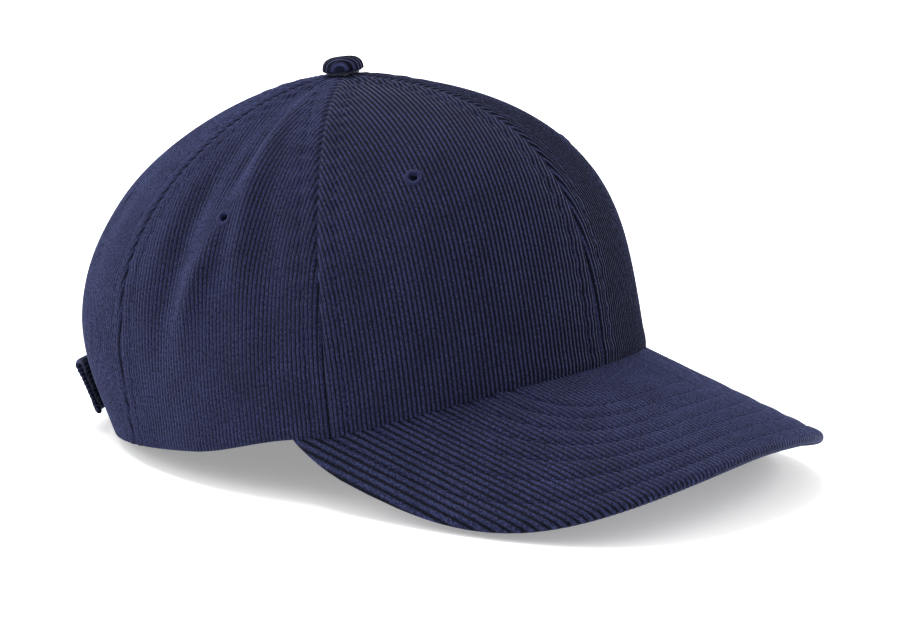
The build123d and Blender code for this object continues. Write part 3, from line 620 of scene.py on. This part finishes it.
def edge_distance(x, y):
    """Distance in plan to the peak's edge: (1 - g) / |grad g| for the squarish front, where
    g = (|x/W|^p + |y/T|^p)^(1/p), and the gap to the narrowing sides behind it."""
    power = 2 / PEAK_SQUARENESS
    u, v = np.abs(x) / PEAK_HALF_WIDTH, np.maximum(widest_y - y, 0) / tip_reach
    g = np.maximum((u ** power + v ** power) ** (1 / power), 1e-9)
    slope = np.hypot((u / g) ** (power - 1) / PEAK_HALF_WIDTH, (v / g) ** (power - 1) / tip_reach)
    front = (1 - g) / np.maximum(slope, 1e-6)
    share = np.clip((y - widest_y) / PEAK_WIDEST, 0, 1.3)
    side = PEAK_HALF_WIDTH - (PEAK_HALF_WIDTH - corner_x) * share ** 2 - np.abs(x)
    return np.where(y < widest_y, front, side)


def peak_point(x, y, depth):
    """The place this deep under the top of the peak, square to it."""
    grade_x = (peak_top(x + 0.01, y) - peak_top(x - 0.01, y)) / 0.02
    grade = np.stack([-grade_x, np.full_like(grade_x, -np.tan(PEAK_DROP)), np.ones_like(grade_x)], -1)
    return np.stack([x, y, peak_top(x, y)], -1) - unit(grade) * np.asarray(depth)[..., None], unit(grade)


def peak_plan(columns, rows):
    """Straight columns at equal x from the rim, or from the narrowing side, to the front edge."""
    x = np.linspace(-1, 1, columns)
    x = PEAK_HALF_WIDTH * 0.9995 * np.sign(x) * np.abs(x) ** 0.98
    inside = np.clip(np.abs(x) / corner_x, 0, 1)
    rim_x = np.clip(np.abs(x), 0, corner_x)
    back = -(FRONT_LENGTH - PEAK_TUCK) * np.sqrt(1 - (rim_x / HALF_WIDTH) ** 2)
    beyond = np.clip((PEAK_HALF_WIDTH - np.abs(x)) / (PEAK_HALF_WIDTH - corner_x), 0, 1)
    back = np.where(inside < 1, back, widest_y + np.sqrt(beyond) * PEAK_WIDEST)
    turn = np.clip(np.abs(x) / PEAK_HALF_WIDTH, 0, 1) ** (2 / PEAK_SQUARENESS)
    front = widest_y - tip_reach * (1 - turn) ** (PEAK_SQUARENESS / 2)
    share = 1 - (1 - np.linspace(0, 1, rows)[:, None]) ** 1.8
    return np.broadcast_to(x, (rows, columns)), back + (front - back) * share


def peak_relief(x, y, distance):
    """Wales fore and aft, and a furrow with a low quilted rise each side of every stitch row."""
    relief = 0.9 * wale_relief(x)
    for row in range(1, STITCH_ROWS + 1):
        off = distance - row * STITCH_ROW_GAP
        relief = relief - 0.30 * np.exp(-(off / 0.75) ** 2)
    between = np.cos(2 * np.pi * distance / STITCH_ROW_GAP)
    return relief - 0.10 * between * (distance < (STITCH_ROWS + 0.5) * STITCH_ROW_GAP) + 0.10


for name, node, top, rows in (("peak_top_cloth", "peak_top_cover", True, PEAK_TOP_ROWS),
                              ("peak_under_cloth", "peak_bottom_cover", False, PEAK_UNDER_ROWS)):
    x, y = peak_plan(PEAK_COLUMNS + 1, rows)
    distance = np.maximum(edge_distance(x, y), 0)
    near = np.clip(EDGE_ROUND - distance, 0, EDGE_ROUND)
    fall = EDGE_ROUND - np.sqrt(np.maximum(EDGE_ROUND ** 2 - near ** 2, 0))
    relief = peak_relief(x, y, distance) * np.clip(distance / 0.6, 0.35, 1)
    depth = fall - relief if top else PEAK_THICKNESS - fall + relief
    shown, _ = peak_point(x, y, depth)
    thin = (slice(None, None, PEAK_ROW_STEP), slice(None, None, PEAK_COLUMN_STEP))
    far_side = np.clip(distance[thin] / 2, 0, 1) * 0.6
    hidden, _ = peak_point(x[thin], y[thin], EDGE_ROUND + (-far_side if top else far_side))
    points, faces = cloth_shell(shown, hidden, PEAK_ROW_STEP, PEAK_COLUMN_STEP)
    pattern = np.stack([x, -y], -1)
    new_piece(name, points, faces, navy_corduroy, nodes=[node],
              pattern=np.concatenate([pattern.reshape(-1, 2), pattern[thin].reshape(-1, 2)]))

peak_paths = []
for row in range(1, STITCH_ROWS + 1):
    turn = np.linspace(-np.pi * 0.62, np.pi * 0.62, 700)
    ray_x, ray_y = np.sin(turn), -np.cos(turn)
    near, far = np.zeros_like(turn), np.full_like(turn, 140.0)
    for _ in range(40):
        middle = (near + far) / 2
        inside = edge_distance(ray_x * middle, widest_y + 8 + ray_y * middle) > row * STITCH_ROW_GAP
        near, far = np.where(inside, middle, near), np.where(inside, far, middle)
    x, y = ray_x * near, widest_y + 8 + ray_y * near
    visible = (x / HALF_WIDTH) ** 2 + (y / FRONT_LENGTH) ** 2 > 1.0
    x, y = x[visible & (y < 0)], y[visible & (y < 0)]
    for gap in (-0.16, 0.16 + PEAK_THICKNESS):
        thread, up = peak_point(x, y, np.full_like(x, gap + (0.32 if gap < 0 else -0.32)))
        peak_paths.append((thread, up if gap < 0 else -up))
stitches("peak_topstitching", peak_paths, pitch=3.0, length=2.1, radius=0.17)

# ---------------------------------------------------------------- tapes over the inside seams
# Woven cotton tape, 12 mm wide, sewn over the pressed-open seams inside: one long tape from the
# front over the top to the back opening, and a short one over each of the other four seams.
TAPE_WIDTH, TAPE_THICKNESS, TAPE_START, SEAM_GAP = 12.0, 0.5, 2.0, 0.1


def woven(name, dark, light, thread, twill):
    """Woven cotton: threads this many mm apart, over and under as two crossed waves; a twill's
    ridges climb sideways, a tape's run straight across. Matt, with a little fuzz."""
    material = new_material(name)
    place = add_node(material, "Attribute", {"attribute_name": "cloth_mm"}).outputs["Vector"]
    turned = add_node(material, "Mapping", Vector=place, Rotation=(0.0, 0.0, np.radians(twill)))
    ridges = add_node(material, "TexWave", {"wave_profile": "SIN"}, Vector=turned.outputs[0],
                      Scale=0.314 / thread, Distortion=0.3)
    crossed = add_node(material, "TexWave", {"bands_direction": "Y"}, Vector=turned.outputs[0],
                       Scale=0.314 / thread, Distortion=0.6)
    weave = add_node(material, "Math", {"operation": "MULTIPLY_ADD"}, _0=crossed.outputs[0], _1=0.35,
                     _2=ridges.outputs[0])
    slubs = add_node(material, "TexNoise", Vector=place, Scale=0.35, Detail=4.0)
    shade = add_node(material, "Math", {"operation": "MULTIPLY"}, _0=weave.outputs[0],
                     _1=slubs.outputs[0])
    colour = ramp(material, shade.outputs[0], dark, light)
    bump = add_node(material, "Bump", Height=weave.outputs[0], Strength=0.5, Distance=0.00012)
    return finish_material(material, Base_Color=colour, Roughness=0.8, Specular_IOR_Level=0.3,
                           Sheen_Weight=0.15, Normal=bump.outputs[0])


navy_tape = woven("navy_cotton_tape", "#14172A", "#3B4166", 0.5, 0.0)


def mm_pattern(grid):
    """Running lengths across and along a grid, for the weave."""
    across = np.linalg.norm(np.gradient(grid, axis=1), axis=-1).cumsum(1)
    along = np.linalg.norm(np.gradient(grid, axis=0), axis=-1).cumsum(0)
    return np.stack([across - across[:, across.shape[1] // 2][:, None], along], -1)


def cloth_piece(name, outer, inner, material, nodes, body="crown"):
    """A closed piece between two grids of the same size."""
    points, faces = cloth_shell(outer, inner)
    pattern = mm_pattern(outer).reshape(-1, 2)
    return new_piece(name, points, faces, material, nodes=nodes, body=body,
                     pattern=np.concatenate([pattern, pattern]))


def seam_tape(polar, side, nodes, name):
    """Rows up the seam and columns across it, under the cloth, with thicker selvedges."""
    phi = np.array([side * oval_angle(polar)])
    t = t_of_length(phi, np.linspace(TAPE_START, 400.0, 170)[:, None], 1.6 * TAPE_WIDTH)
    t = np.unique(t[:, 0])[:, None]
    wide = np.linspace(-1, 1, 15)[None, :]
    round_step = np.linalg.norm(crown(phi + 1e-3, t[:, 0]) - crown(phi - 1e-3, t[:, 0]), axis=-1) / 2e-3
    turn = phi + wide * (TAPE_WIDTH / 2 / round_step)[:, None]
    t = np.broadcast_to(t, turn.shape)
    selvedge = 0.12 * (np.abs(wide) > 0.85)
    outer = cloth(turn, t, CORDUROY + SEAM_GAP)
    inner = cloth(turn, t, CORDUROY + SEAM_GAP + TAPE_THICKNESS + selvedge)
    cloth_piece(name, outer, inner, navy_tape, nodes)


for side_name, side in SIDES.items():
    for seam, polar in (("side", SIDE_SEAM), ("back", BACK_SEAM)):
        seam_tape(polar, side, [f"seam_tape_{seam}_{side_name}"], f"tape_{seam}_{side_name}")

line, lift = [], []
for phi, count in ((0.0, 90), (np.pi, 60)):
    phi = np.array([phi])
    t = t_of_length(phi, np.linspace(TAPE_START if phi < 1 else 56.0, 400, 400)[:, None], 7.0)
    t = np.unique(t[:, 0])
    t = np.interp(np.linspace(0, 1, count), np.linspace(0, 1, t.size), t)
    step = 1 if phi < 1 else -1
    line.append(cloth(np.full(count, phi[0]), t, np.full(count, CORDUROY + 0.5))[::step])
    lift.append(crown_normal(np.full(count, phi[0]), t)[::step])
line, lift = np.concatenate(line), np.concatenate(lift)
line[:, 0] = lift[:, 0] = 0.0
across = np.linspace(-TAPE_WIDTH / 2, TAPE_WIDTH / 2, 15)
outer = line[:, None] + across[None, :, None] * np.array([1.0, 0.0, 0.0])
outer = (outer - (across ** 2 / (2 * HALF_WIDTH))[None, :, None] * lift[:, None])[:, ::-1]
cloth_piece("tape_centre", outer, outer - lift[:, None] * TAPE_THICKNESS, navy_tape,
            ["seam_tape_centre"])

# ---------------------------------------------------------------- sweatband
# A folded strip of navy cotton twill sewn in round the rim, open at the back, over a strip of
# soft padding behind the forehead; it stands away from the crown where the strap's ends lie.
SWEATBAND_HEIGHT, SWEATBAND_THICKNESS, BAND_START = 30.0, 1.0, 1.0
PADDING_HEIGHT, PADDING_ANGLE = 22.0, np.radians(55.0)
PADDING_OUTSIDE, PADDING_INSIDE, PADDING_SWELL = 2.85, 2.90, 0.4    # depths under the corduroy
BAND_NEAR, STRAP_POCKET = 3.8, 6.4
band_end = oval_angle(180.0 - np.degrees(np.arctan2(ARCH_HALF_WIDTH + 1.0, BACK_LENGTH)))


def band_rows(phi, depth, low, high, rows):
    """Rows on a band inside the crown, by length of cloth up from the rim."""
    t = t_of_length(phi, np.repeat(np.linspace(low, high, rows)[:, None], phi.size, 1))
    phi = np.broadcast_to(phi, t.shape)
    return crown(phi, t) - crown_normal(phi, t) * depth[..., None]


navy_twill = woven("navy_cotton_twill", "#161A30", "#3A4068", 0.8, 35.0)
phi = np.linspace(-band_end, band_end, 421)
share = np.clip((np.abs(np.degrees(phi)) - 105.0) / 35.0, 0, 1)
depth = BAND_NEAR + (STRAP_POCKET - BAND_NEAR) * smooth(share)
BAND_ROWS, BAND_STITCH = 33, 4.0
rows = np.linspace(0, 1, BAND_ROWS)[:, None]
above_stitch = rows * SWEATBAND_HEIGHT - BAND_STITCH
edge_round = 0.45 * np.clip(1 - np.minimum(rows, 1 - rows) * 26, 0, 1) ** 2
sewn = 0.22 * np.exp(-(above_stitch / 0.8) ** 2)
ripple = 0.16 * np.sin(phi * 41 + 2 * np.sin(phi * 7)) * np.exp(-(above_stitch / 5) ** 2)
outer = band_rows(phi, depth[None, :] + edge_round, BAND_START, SWEATBAND_HEIGHT, BAND_ROWS)
inner_depth = depth[None, :] + SWEATBAND_THICKNESS - edge_round - sewn + ripple
inner = band_rows(phi, inner_depth, BAND_START, SWEATBAND_HEIGHT, BAND_ROWS)
cloth_piece("sweatband_twill", outer, inner, navy_twill, ["sweatband"])
line = band_rows(phi, inner_depth[:1], 5.0, 5.0, 1)[0]
stitches("sweatband_stitching", [(line, -crown_normal(phi, np.full(phi.size, 0.05)))], pitch=3.2)

white_padding = new_material("white_felted_padding")   # needled polyester wadding: matt, fibrous
fibres = add_node(white_padding, "TexNoise", Scale=900.0, Detail=5.0, Distortion=1.2,
                  Vector=add_node(white_padding, "TexCoord").outputs["Object"])
tone = ramp(white_padding, fibres.outputs[0], "#C9C8C2", "#EFEEEA")
bump = add_node(white_padding, "Bump", Height=fibres.outputs[0], Strength=0.6, Distance=0.0002)
finish_material(white_padding, Base_Color=tone, Roughness=0.95, Normal=bump.outputs[0])
phi = np.linspace(-PADDING_ANGLE, PADDING_ANGLE, 121)
rows = np.linspace(0, 1, 17)[:, None]
thin = np.clip(np.minimum(rows, 1 - rows) * 9, 0, 1) ** 0.5 * np.clip(
    (PADDING_ANGLE - np.abs(phi[None, :])) * 18, 0, 1) ** 0.5
outer = band_rows(phi, PADDING_OUTSIDE - PADDING_SWELL * thin, BAND_START + 2, PADDING_HEIGHT, 17)
inner = band_rows(phi, PADDING_INSIDE + PADDING_SWELL * thin, BAND_START + 2, PADDING_HEIGHT, 17)
padding = cloth_piece("forehead_padding", outer, inner, white_padding, ["sweatband_padding"])

# ---------------------------------------------------------------- back opening
# The arched opening has its edge turned in over a shaped facing and stitched down; the cloth
# makes a soft rounded roll along the arch.
FACING_WIDTH, FACING_THICKNESS, ROLL_HALF_WIDTH, ROLL_HALF_THICKNESS = 8.0, 0.6, 1.3, 0.85


def on_back(x, z):
    """The angle and t of the crown's point at this x and height, behind the peak's corners."""
    phi = np.full(np.broadcast(x, z).shape, np.pi) - 0.01 * np.sign(x)
    for _ in range(60):
        power = 1 - FRONT_UPRIGHT * (1 + np.cos(phi)) / 2
        t = np.arcsin(np.clip(np.maximum(z, 0) / CROWN_HEIGHT, 0, 1) ** (1 / power)) * 2 / np.pi
        wide = np.abs(crown(phi, t)[..., 0] / np.sin(phi)) / HALF_WIDTH
        sine = np.clip(-x / (HALF_WIDTH * np.maximum(wide, 0.05)), -0.999, 0.999)
        phi = np.pi - np.arcsin(np.where(np.abs(sine) < 1e-6, 1e-6, sine))
    return phi, t


def arch_line(grow, count, low=0.0):
    """Up one side of the arch, round its top and down the other, this far outside its edge."""
    radius = ARCH_HALF_WIDTH + grow
    turn = np.linspace(0, np.pi, count)
    x, z = radius * np.cos(turn), ARCH_STRAIGHT + radius * np.sin(turn)
    rise = np.linspace(low, ARCH_STRAIGHT, 14)[:-1]
    x = np.concatenate([np.full(13, radius), x, np.full(13, -radius)])
    return x, np.concatenate([rise, z, rise[::-1]])


phi, t = on_back(*arch_line(0.0, 180))
middle = cloth(phi, t, CORDUROY / 2)
lift = crown_normal(phi, t)
along = unit(np.gradient(middle, axis=0))
aside = unit(np.cross(along, lift))
ROLL_SIDES = 20
turn = np.linspace(0, 2 * np.pi, ROLL_SIDES, endpoint=False)
roll = (middle[:, None] + aside[:, None] * (ROLL_HALF_WIDTH * np.cos(turn))[None, :, None]
        + lift[:, None] * (ROLL_HALF_THICKNESS * np.sin(turn))[None, :, None])
fan = np.arange(1, ROLL_SIDES - 1)
caps = np.concatenate([np.stack([0 * fan, fan, fan + 1], -1) + end
                       for end in (0, ROLL_SIDES * (len(roll) - 1))])
pattern = np.stack(np.broadcast_arrays(running_length(middle)[:, None], turn * 1.2), -1)
new_piece("arch_edge_roll", roll, [tube_quads(len(roll), ROLL_SIDES), caps], navy_corduroy,
          pattern=pattern)

FACING_LOW = 26.5
start = np.arcsin((FACING_LOW - ARCH_STRAIGHT) / ARCH_HALF_WIDTH)
turn = np.linspace(start, np.pi - start, 121)[:, None]
wide = np.linspace(0.8, FACING_WIDTH, 13)[None, :]
x = (ARCH_HALF_WIDTH + wide) * np.cos(turn)
z = np.maximum(ARCH_STRAIGHT + (ARCH_HALF_WIDTH + wide) * np.sin(turn), FACING_LOW)
phi, t = on_back(x, z)
outer = cloth(phi, t, CORDUROY + SEAM_GAP)
inner = cloth(phi, t, CORDUROY + SEAM_GAP + FACING_THICKNESS)
cloth_piece("opening_facing_twill", outer, inner, navy_twill, ["back_opening_facing"])
ARCH_STITCH_GAP = 5.2
phi, t = on_back(*arch_line(ARCH_STITCH_GAP, 160, 3.0))
stitches("arch_topstitching", [(cloth(phi, t, -0.16), crown_normal(phi, t))])

# ---------------------------------------------------------------- back strap
# A double strip of the same corduroy, wales lengthwise, its edges turned in and stitched. Its
# root slides in inside the left panel and its tail passes out over the right one.
STRAP_WIDTH, STRAP_THICKNESS, STRAP_LOW_EDGE, STRAP_FLARE = 19.0, 2.4, 5.8, 0.30
STRAP_RADIUS, STRAP_OFFSET, RIM_BACK_RADIUS = 75.6, 6.9, 73.0
STRAP_ROOT, STRAP_TAIL = np.radians(-45.0), np.radians(36.0)
BAND_CENTRE_Y = BACK_LENGTH - RIM_BACK_RADIUS


def on_band(centre_x, radius, angle, height, out):
    """Point on a flaring band: an angle from the back towards the wearer's right, a height above
    the strap's lower edge and a distance out from the middle of its thickness."""
    reach = radius + STRAP_FLARE * height + out
    parts = np.broadcast_arrays(centre_x - reach * np.sin(angle),
                                BAND_CENTRE_Y + reach * np.cos(angle), STRAP_LOW_EDGE + height)
    return np.stack(parts, -1)


def band_section(width, thickness, count):
    """Closed outline of a strip with rolled, fuller edges: height across it and distance out."""
    turn = np.linspace(0, 2 * np.pi, count, endpoint=False)
    sine, cosine = np.sin(turn), np.cos(turn)
    high = width / 2 * np.sign(cosine) * np.abs(cosine) ** 0.75
    fuller = 0.80 + 0.20 * np.clip((np.abs(high) - width / 2 + 5.0) / 1.2, 0, 1)
    edge = np.clip((width / 2 - np.abs(high)) / (thickness / 2), 0, 1)
    out = thickness / 2 * np.sign(sine) * fuller * np.sqrt(np.maximum(1 - (1 - edge) ** 2, 0))
    ribs = 0.09 * np.cos(2 * np.pi * high / WALE) - 0.09
    return high, out + np.sign(sine) * ribs * np.clip(edge, 0, 1)


high, out = band_section(STRAP_WIDTH, STRAP_THICKNESS, 220)
angle = np.linspace(STRAP_ROOT, STRAP_TAIL, 150)
end = np.clip(np.minimum(angle - STRAP_ROOT, STRAP_TAIL - angle) * STRAP_RADIUS / 1.2, 0, 1)
blunt = np.sqrt(np.maximum(1 - (1 - end) ** 2, 0.02))[:, None]


def lie_in(angle):
    """How far the last stretch of the tail settles towards the crown."""
    return 1.5 * smooth(np.clip((angle - np.radians(27.0)) / np.radians(9.0), 0, 1))


strap = on_band(-STRAP_OFFSET, STRAP_RADIUS, angle[:, None], high[None, :] * (0.93 + 0.07 * blunt)
                + STRAP_WIDTH / 2, out[None, :] * blunt - lie_in(angle[:, None]))
count = high.size
fan = np.arange(1, count // 2)
caps = np.concatenate([np.stack([fan - 1, fan, count - fan, (count - fan + 1) % count], -1) + row
                       for row in (0, count * (len(strap) - 1))])
pattern = np.stack(np.broadcast_arrays(high, (angle * STRAP_RADIUS)[:, None]), -1)
new_piece("strap_corduroy", strap, [tube_quads(len(strap), count), caps], navy_corduroy,
          nodes=["back_strap"], body="strap", pattern=pattern)
STRAP_STITCH_PLACE = STRAP_WIDTH / 2 - 3.4      # from the middle of the strap
STRAP_STITCH_OUT = 0.86
strap_paths = []
for place in (-STRAP_STITCH_PLACE, STRAP_STITCH_PLACE):
    for face in (1, -1):
        fine = np.linspace(STRAP_ROOT + 0.03, STRAP_TAIL - 0.04, 160)
        thread = on_band(-STRAP_OFFSET, STRAP_RADIUS, fine, place + STRAP_WIDTH / 2,
                         face * STRAP_STITCH_OUT - lie_in(fine))
        away = np.stack([-np.sin(fine), np.cos(fine), 0 * fine - STRAP_FLARE], -1) * face
        strap_paths.append((thread, unit(away)))
fine = np.linspace(-STRAP_STITCH_PLACE, STRAP_STITCH_PLACE, 40)
for face in (1, -1):
    thread = on_band(-STRAP_OFFSET, STRAP_RADIUS, STRAP_TAIL - 0.045, fine + STRAP_WIDTH / 2,
                     face * STRAP_STITCH_OUT - lie_in(STRAP_TAIL))
    away = np.array([-np.sin(STRAP_TAIL), np.cos(STRAP_TAIL), -STRAP_FLARE]) * face
    strap_paths.append((thread, np.broadcast_to(unit(away), thread.shape)))
stitches("strap_stitching", strap_paths, body="strap", radius=0.19, sink=0.06)

# ---------------------------------------------------------------- buckle and its tab
# A folded-brass clamp buckle with an antique finish hangs on a short double tab of corduroy,
# which is sewn inside the right panel and folded round the buckle's bar.
TAB_RADIUS, TAB_THICKNESS, TAB_WIDTH = 71.4, 2.4, 17.0
TAB_LOW_EDGE, TAB_END = 8.2, np.radians(40.0)
BUCKLE_ANGLE, BAR_PLACE, BAR_RADIUS = np.radians(5.0), 10.5, 0.9
lean = np.arctan(STRAP_FLARE)
buckle_middle = on_band(-STRAP_OFFSET, STRAP_RADIUS, BUCKLE_ANGLE, STRAP_WIDTH / 2, 0.0)
buckle_along = np.array([-np.cos(BUCKLE_ANGLE), -np.sin(BUCKLE_ANGLE), 0.0])
buckle_out = np.array([-np.sin(BUCKLE_ANGLE) * np.cos(lean), np.cos(BUCKLE_ANGLE) * np.cos(lean),
                       -np.sin(lean)])
bar_out = -TAB_THICKNESS
for _ in range(30):
    bar = buckle_middle + buckle_along * BAR_PLACE + buckle_out * bar_out
    wanted = TAB_RADIUS + STRAP_FLARE * (bar[2] - STRAP_LOW_EDGE)
    bar_out += (wanted - np.hypot(bar[0], bar[1] - BAND_CENTRE_Y)) * np.cos(lean)
tab_start = np.arctan2(-bar[0], bar[1] - BAND_CENTRE_Y)
eye = BAR_RADIUS + CORDUROY
EYE_START = 0.62           # where the fold leaves the flat tab, as an angle round the bar
turn = np.linspace(EYE_START, 2 * np.pi - EYE_START, 26)
long, short = (TAB_END - tab_start) * TAB_RADIUS, eye * np.cos(EYE_START)
straight = np.linspace(0, 1, 40)
profile_along = np.concatenate([long + (short - long) * straight[:-1], eye * np.cos(turn),
                                short + (long - short) * straight[1:]])
half = TAB_THICKNESS / 2
profile_out = np.concatenate([np.full(39, half), eye * np.sin(turn), np.full(39, -half)])
high = np.linspace(-TAB_WIDTH / 2, TAB_WIDTH / 2, 86)
edge = np.clip((TAB_WIDTH / 2 - np.abs(high)) / 1.0, 0, 1)
slim = 0.55 + 0.45 * np.sqrt(np.maximum(1 - (1 - edge) ** 2, 0))
ribs = 0.08 * np.cos(2 * np.pi * high / WALE) * edge
height = high + TAB_WIDTH / 2 + TAB_LOW_EDGE - STRAP_LOW_EDGE
out = profile_out[:, None] * slim[None, :] + np.sign(profile_out)[:, None] * ribs[None, :]
tab = on_band(0.0, TAB_RADIUS, tab_start + profile_along[:, None] / TAB_RADIUS, height, out)
rows, columns = tab.shape[:2]
pair = np.arange(rows // 2)
ends = [np.stack([pair * columns + c, (pair + 1) * columns + c, (rows - 2 - pair) * columns + c,
                  (rows - 1 - pair) * columns + c], -1) for c in (0, columns - 1)]
cross = np.arange(columns - 1)
back = np.stack([cross, cross + 1, (rows - 1) * columns + cross + 1, (rows - 1) * columns + cross], -1)
pattern = np.stack(np.broadcast_arrays(high, profile_along[:, None]), -1)
new_piece("tab_corduroy", tab, [grid_quads(rows, columns), *ends, back], navy_corduroy,
          nodes=["buckle_tab"], pattern=pattern)


def worn_metal(name, bright, dark, roughness, wear_scale):
    """Plated or tumbled sheet metal: a darker patina in blotches, rubbed bright between them, with
    fine tumbling scratches; the gloss is broken because the surface was barrel finished."""
    material = new_material(name)
    place = add_node(material, "TexCoord").outputs["Object"]
    blotches = add_node(material, "TexNoise", Vector=place, Scale=wear_scale, Detail=5.0, Roughness=0.6)
    colour = ramp(material, blotches.outputs[0], dark, bright, 0.35, 0.7)
    gloss = add_node(material, "MapRange", Value=blotches.outputs[0],
                     To_Min=roughness + 0.12, To_Max=roughness - 0.08)
    scratches = add_node(material, "TexNoise", Vector=place, Scale=wear_scale * 12, Detail=3.0)
    bump = add_node(material, "Bump", Height=scratches.outputs[0], Strength=0.15, Distance=0.00005)
    return finish_material(material, Base_Color=colour, Metallic=1.0,
                           Roughness=gloss.outputs[0], Normal=bump.outputs[0])


def give_finish(material, nodes):
    for node in nodes:
        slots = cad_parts[node].data.materials
        slots.clear()
        slots.append(material)


antique_brass = worn_metal("antique_brass_barrel_finished", "#7A6645", "#4A3D28", 0.36, 260.0)
give_finish(antique_brass, ("buckle_frame", "buckle_pin", "buckle_lever"))

# ---------------------------------------------------------------- hidden parts
# The peak's moulded polyethylene board and the button's steel shell, prong and washer stay as
# they are in the frame; only the washer shows, from inside the crown.
pale_board = new_material("moulded_polyethylene_board")   # waxy, faintly speckled sheet
speckle = add_node(pale_board, "TexNoise", Scale=500.0, Detail=2.0,
                   Vector=add_node(pale_board, "TexCoord").outputs["Object"])
tone = ramp(pale_board, speckle.outputs[0], "#D9D9D2", "#E8E8E2")
finish_material(pale_board, Base_Color=tone, Roughness=0.42, IOR=1.5)
give_finish(pale_board, ("peak_board",))
zinc_steel = worn_metal("zinc_plated_steel", "#B9BBBE", "#85888C", 0.35, 240.0)
give_finish(zinc_steel, ("button_shell", "button_prong"))

# ---------------------------------------------------------------- size
low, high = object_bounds()
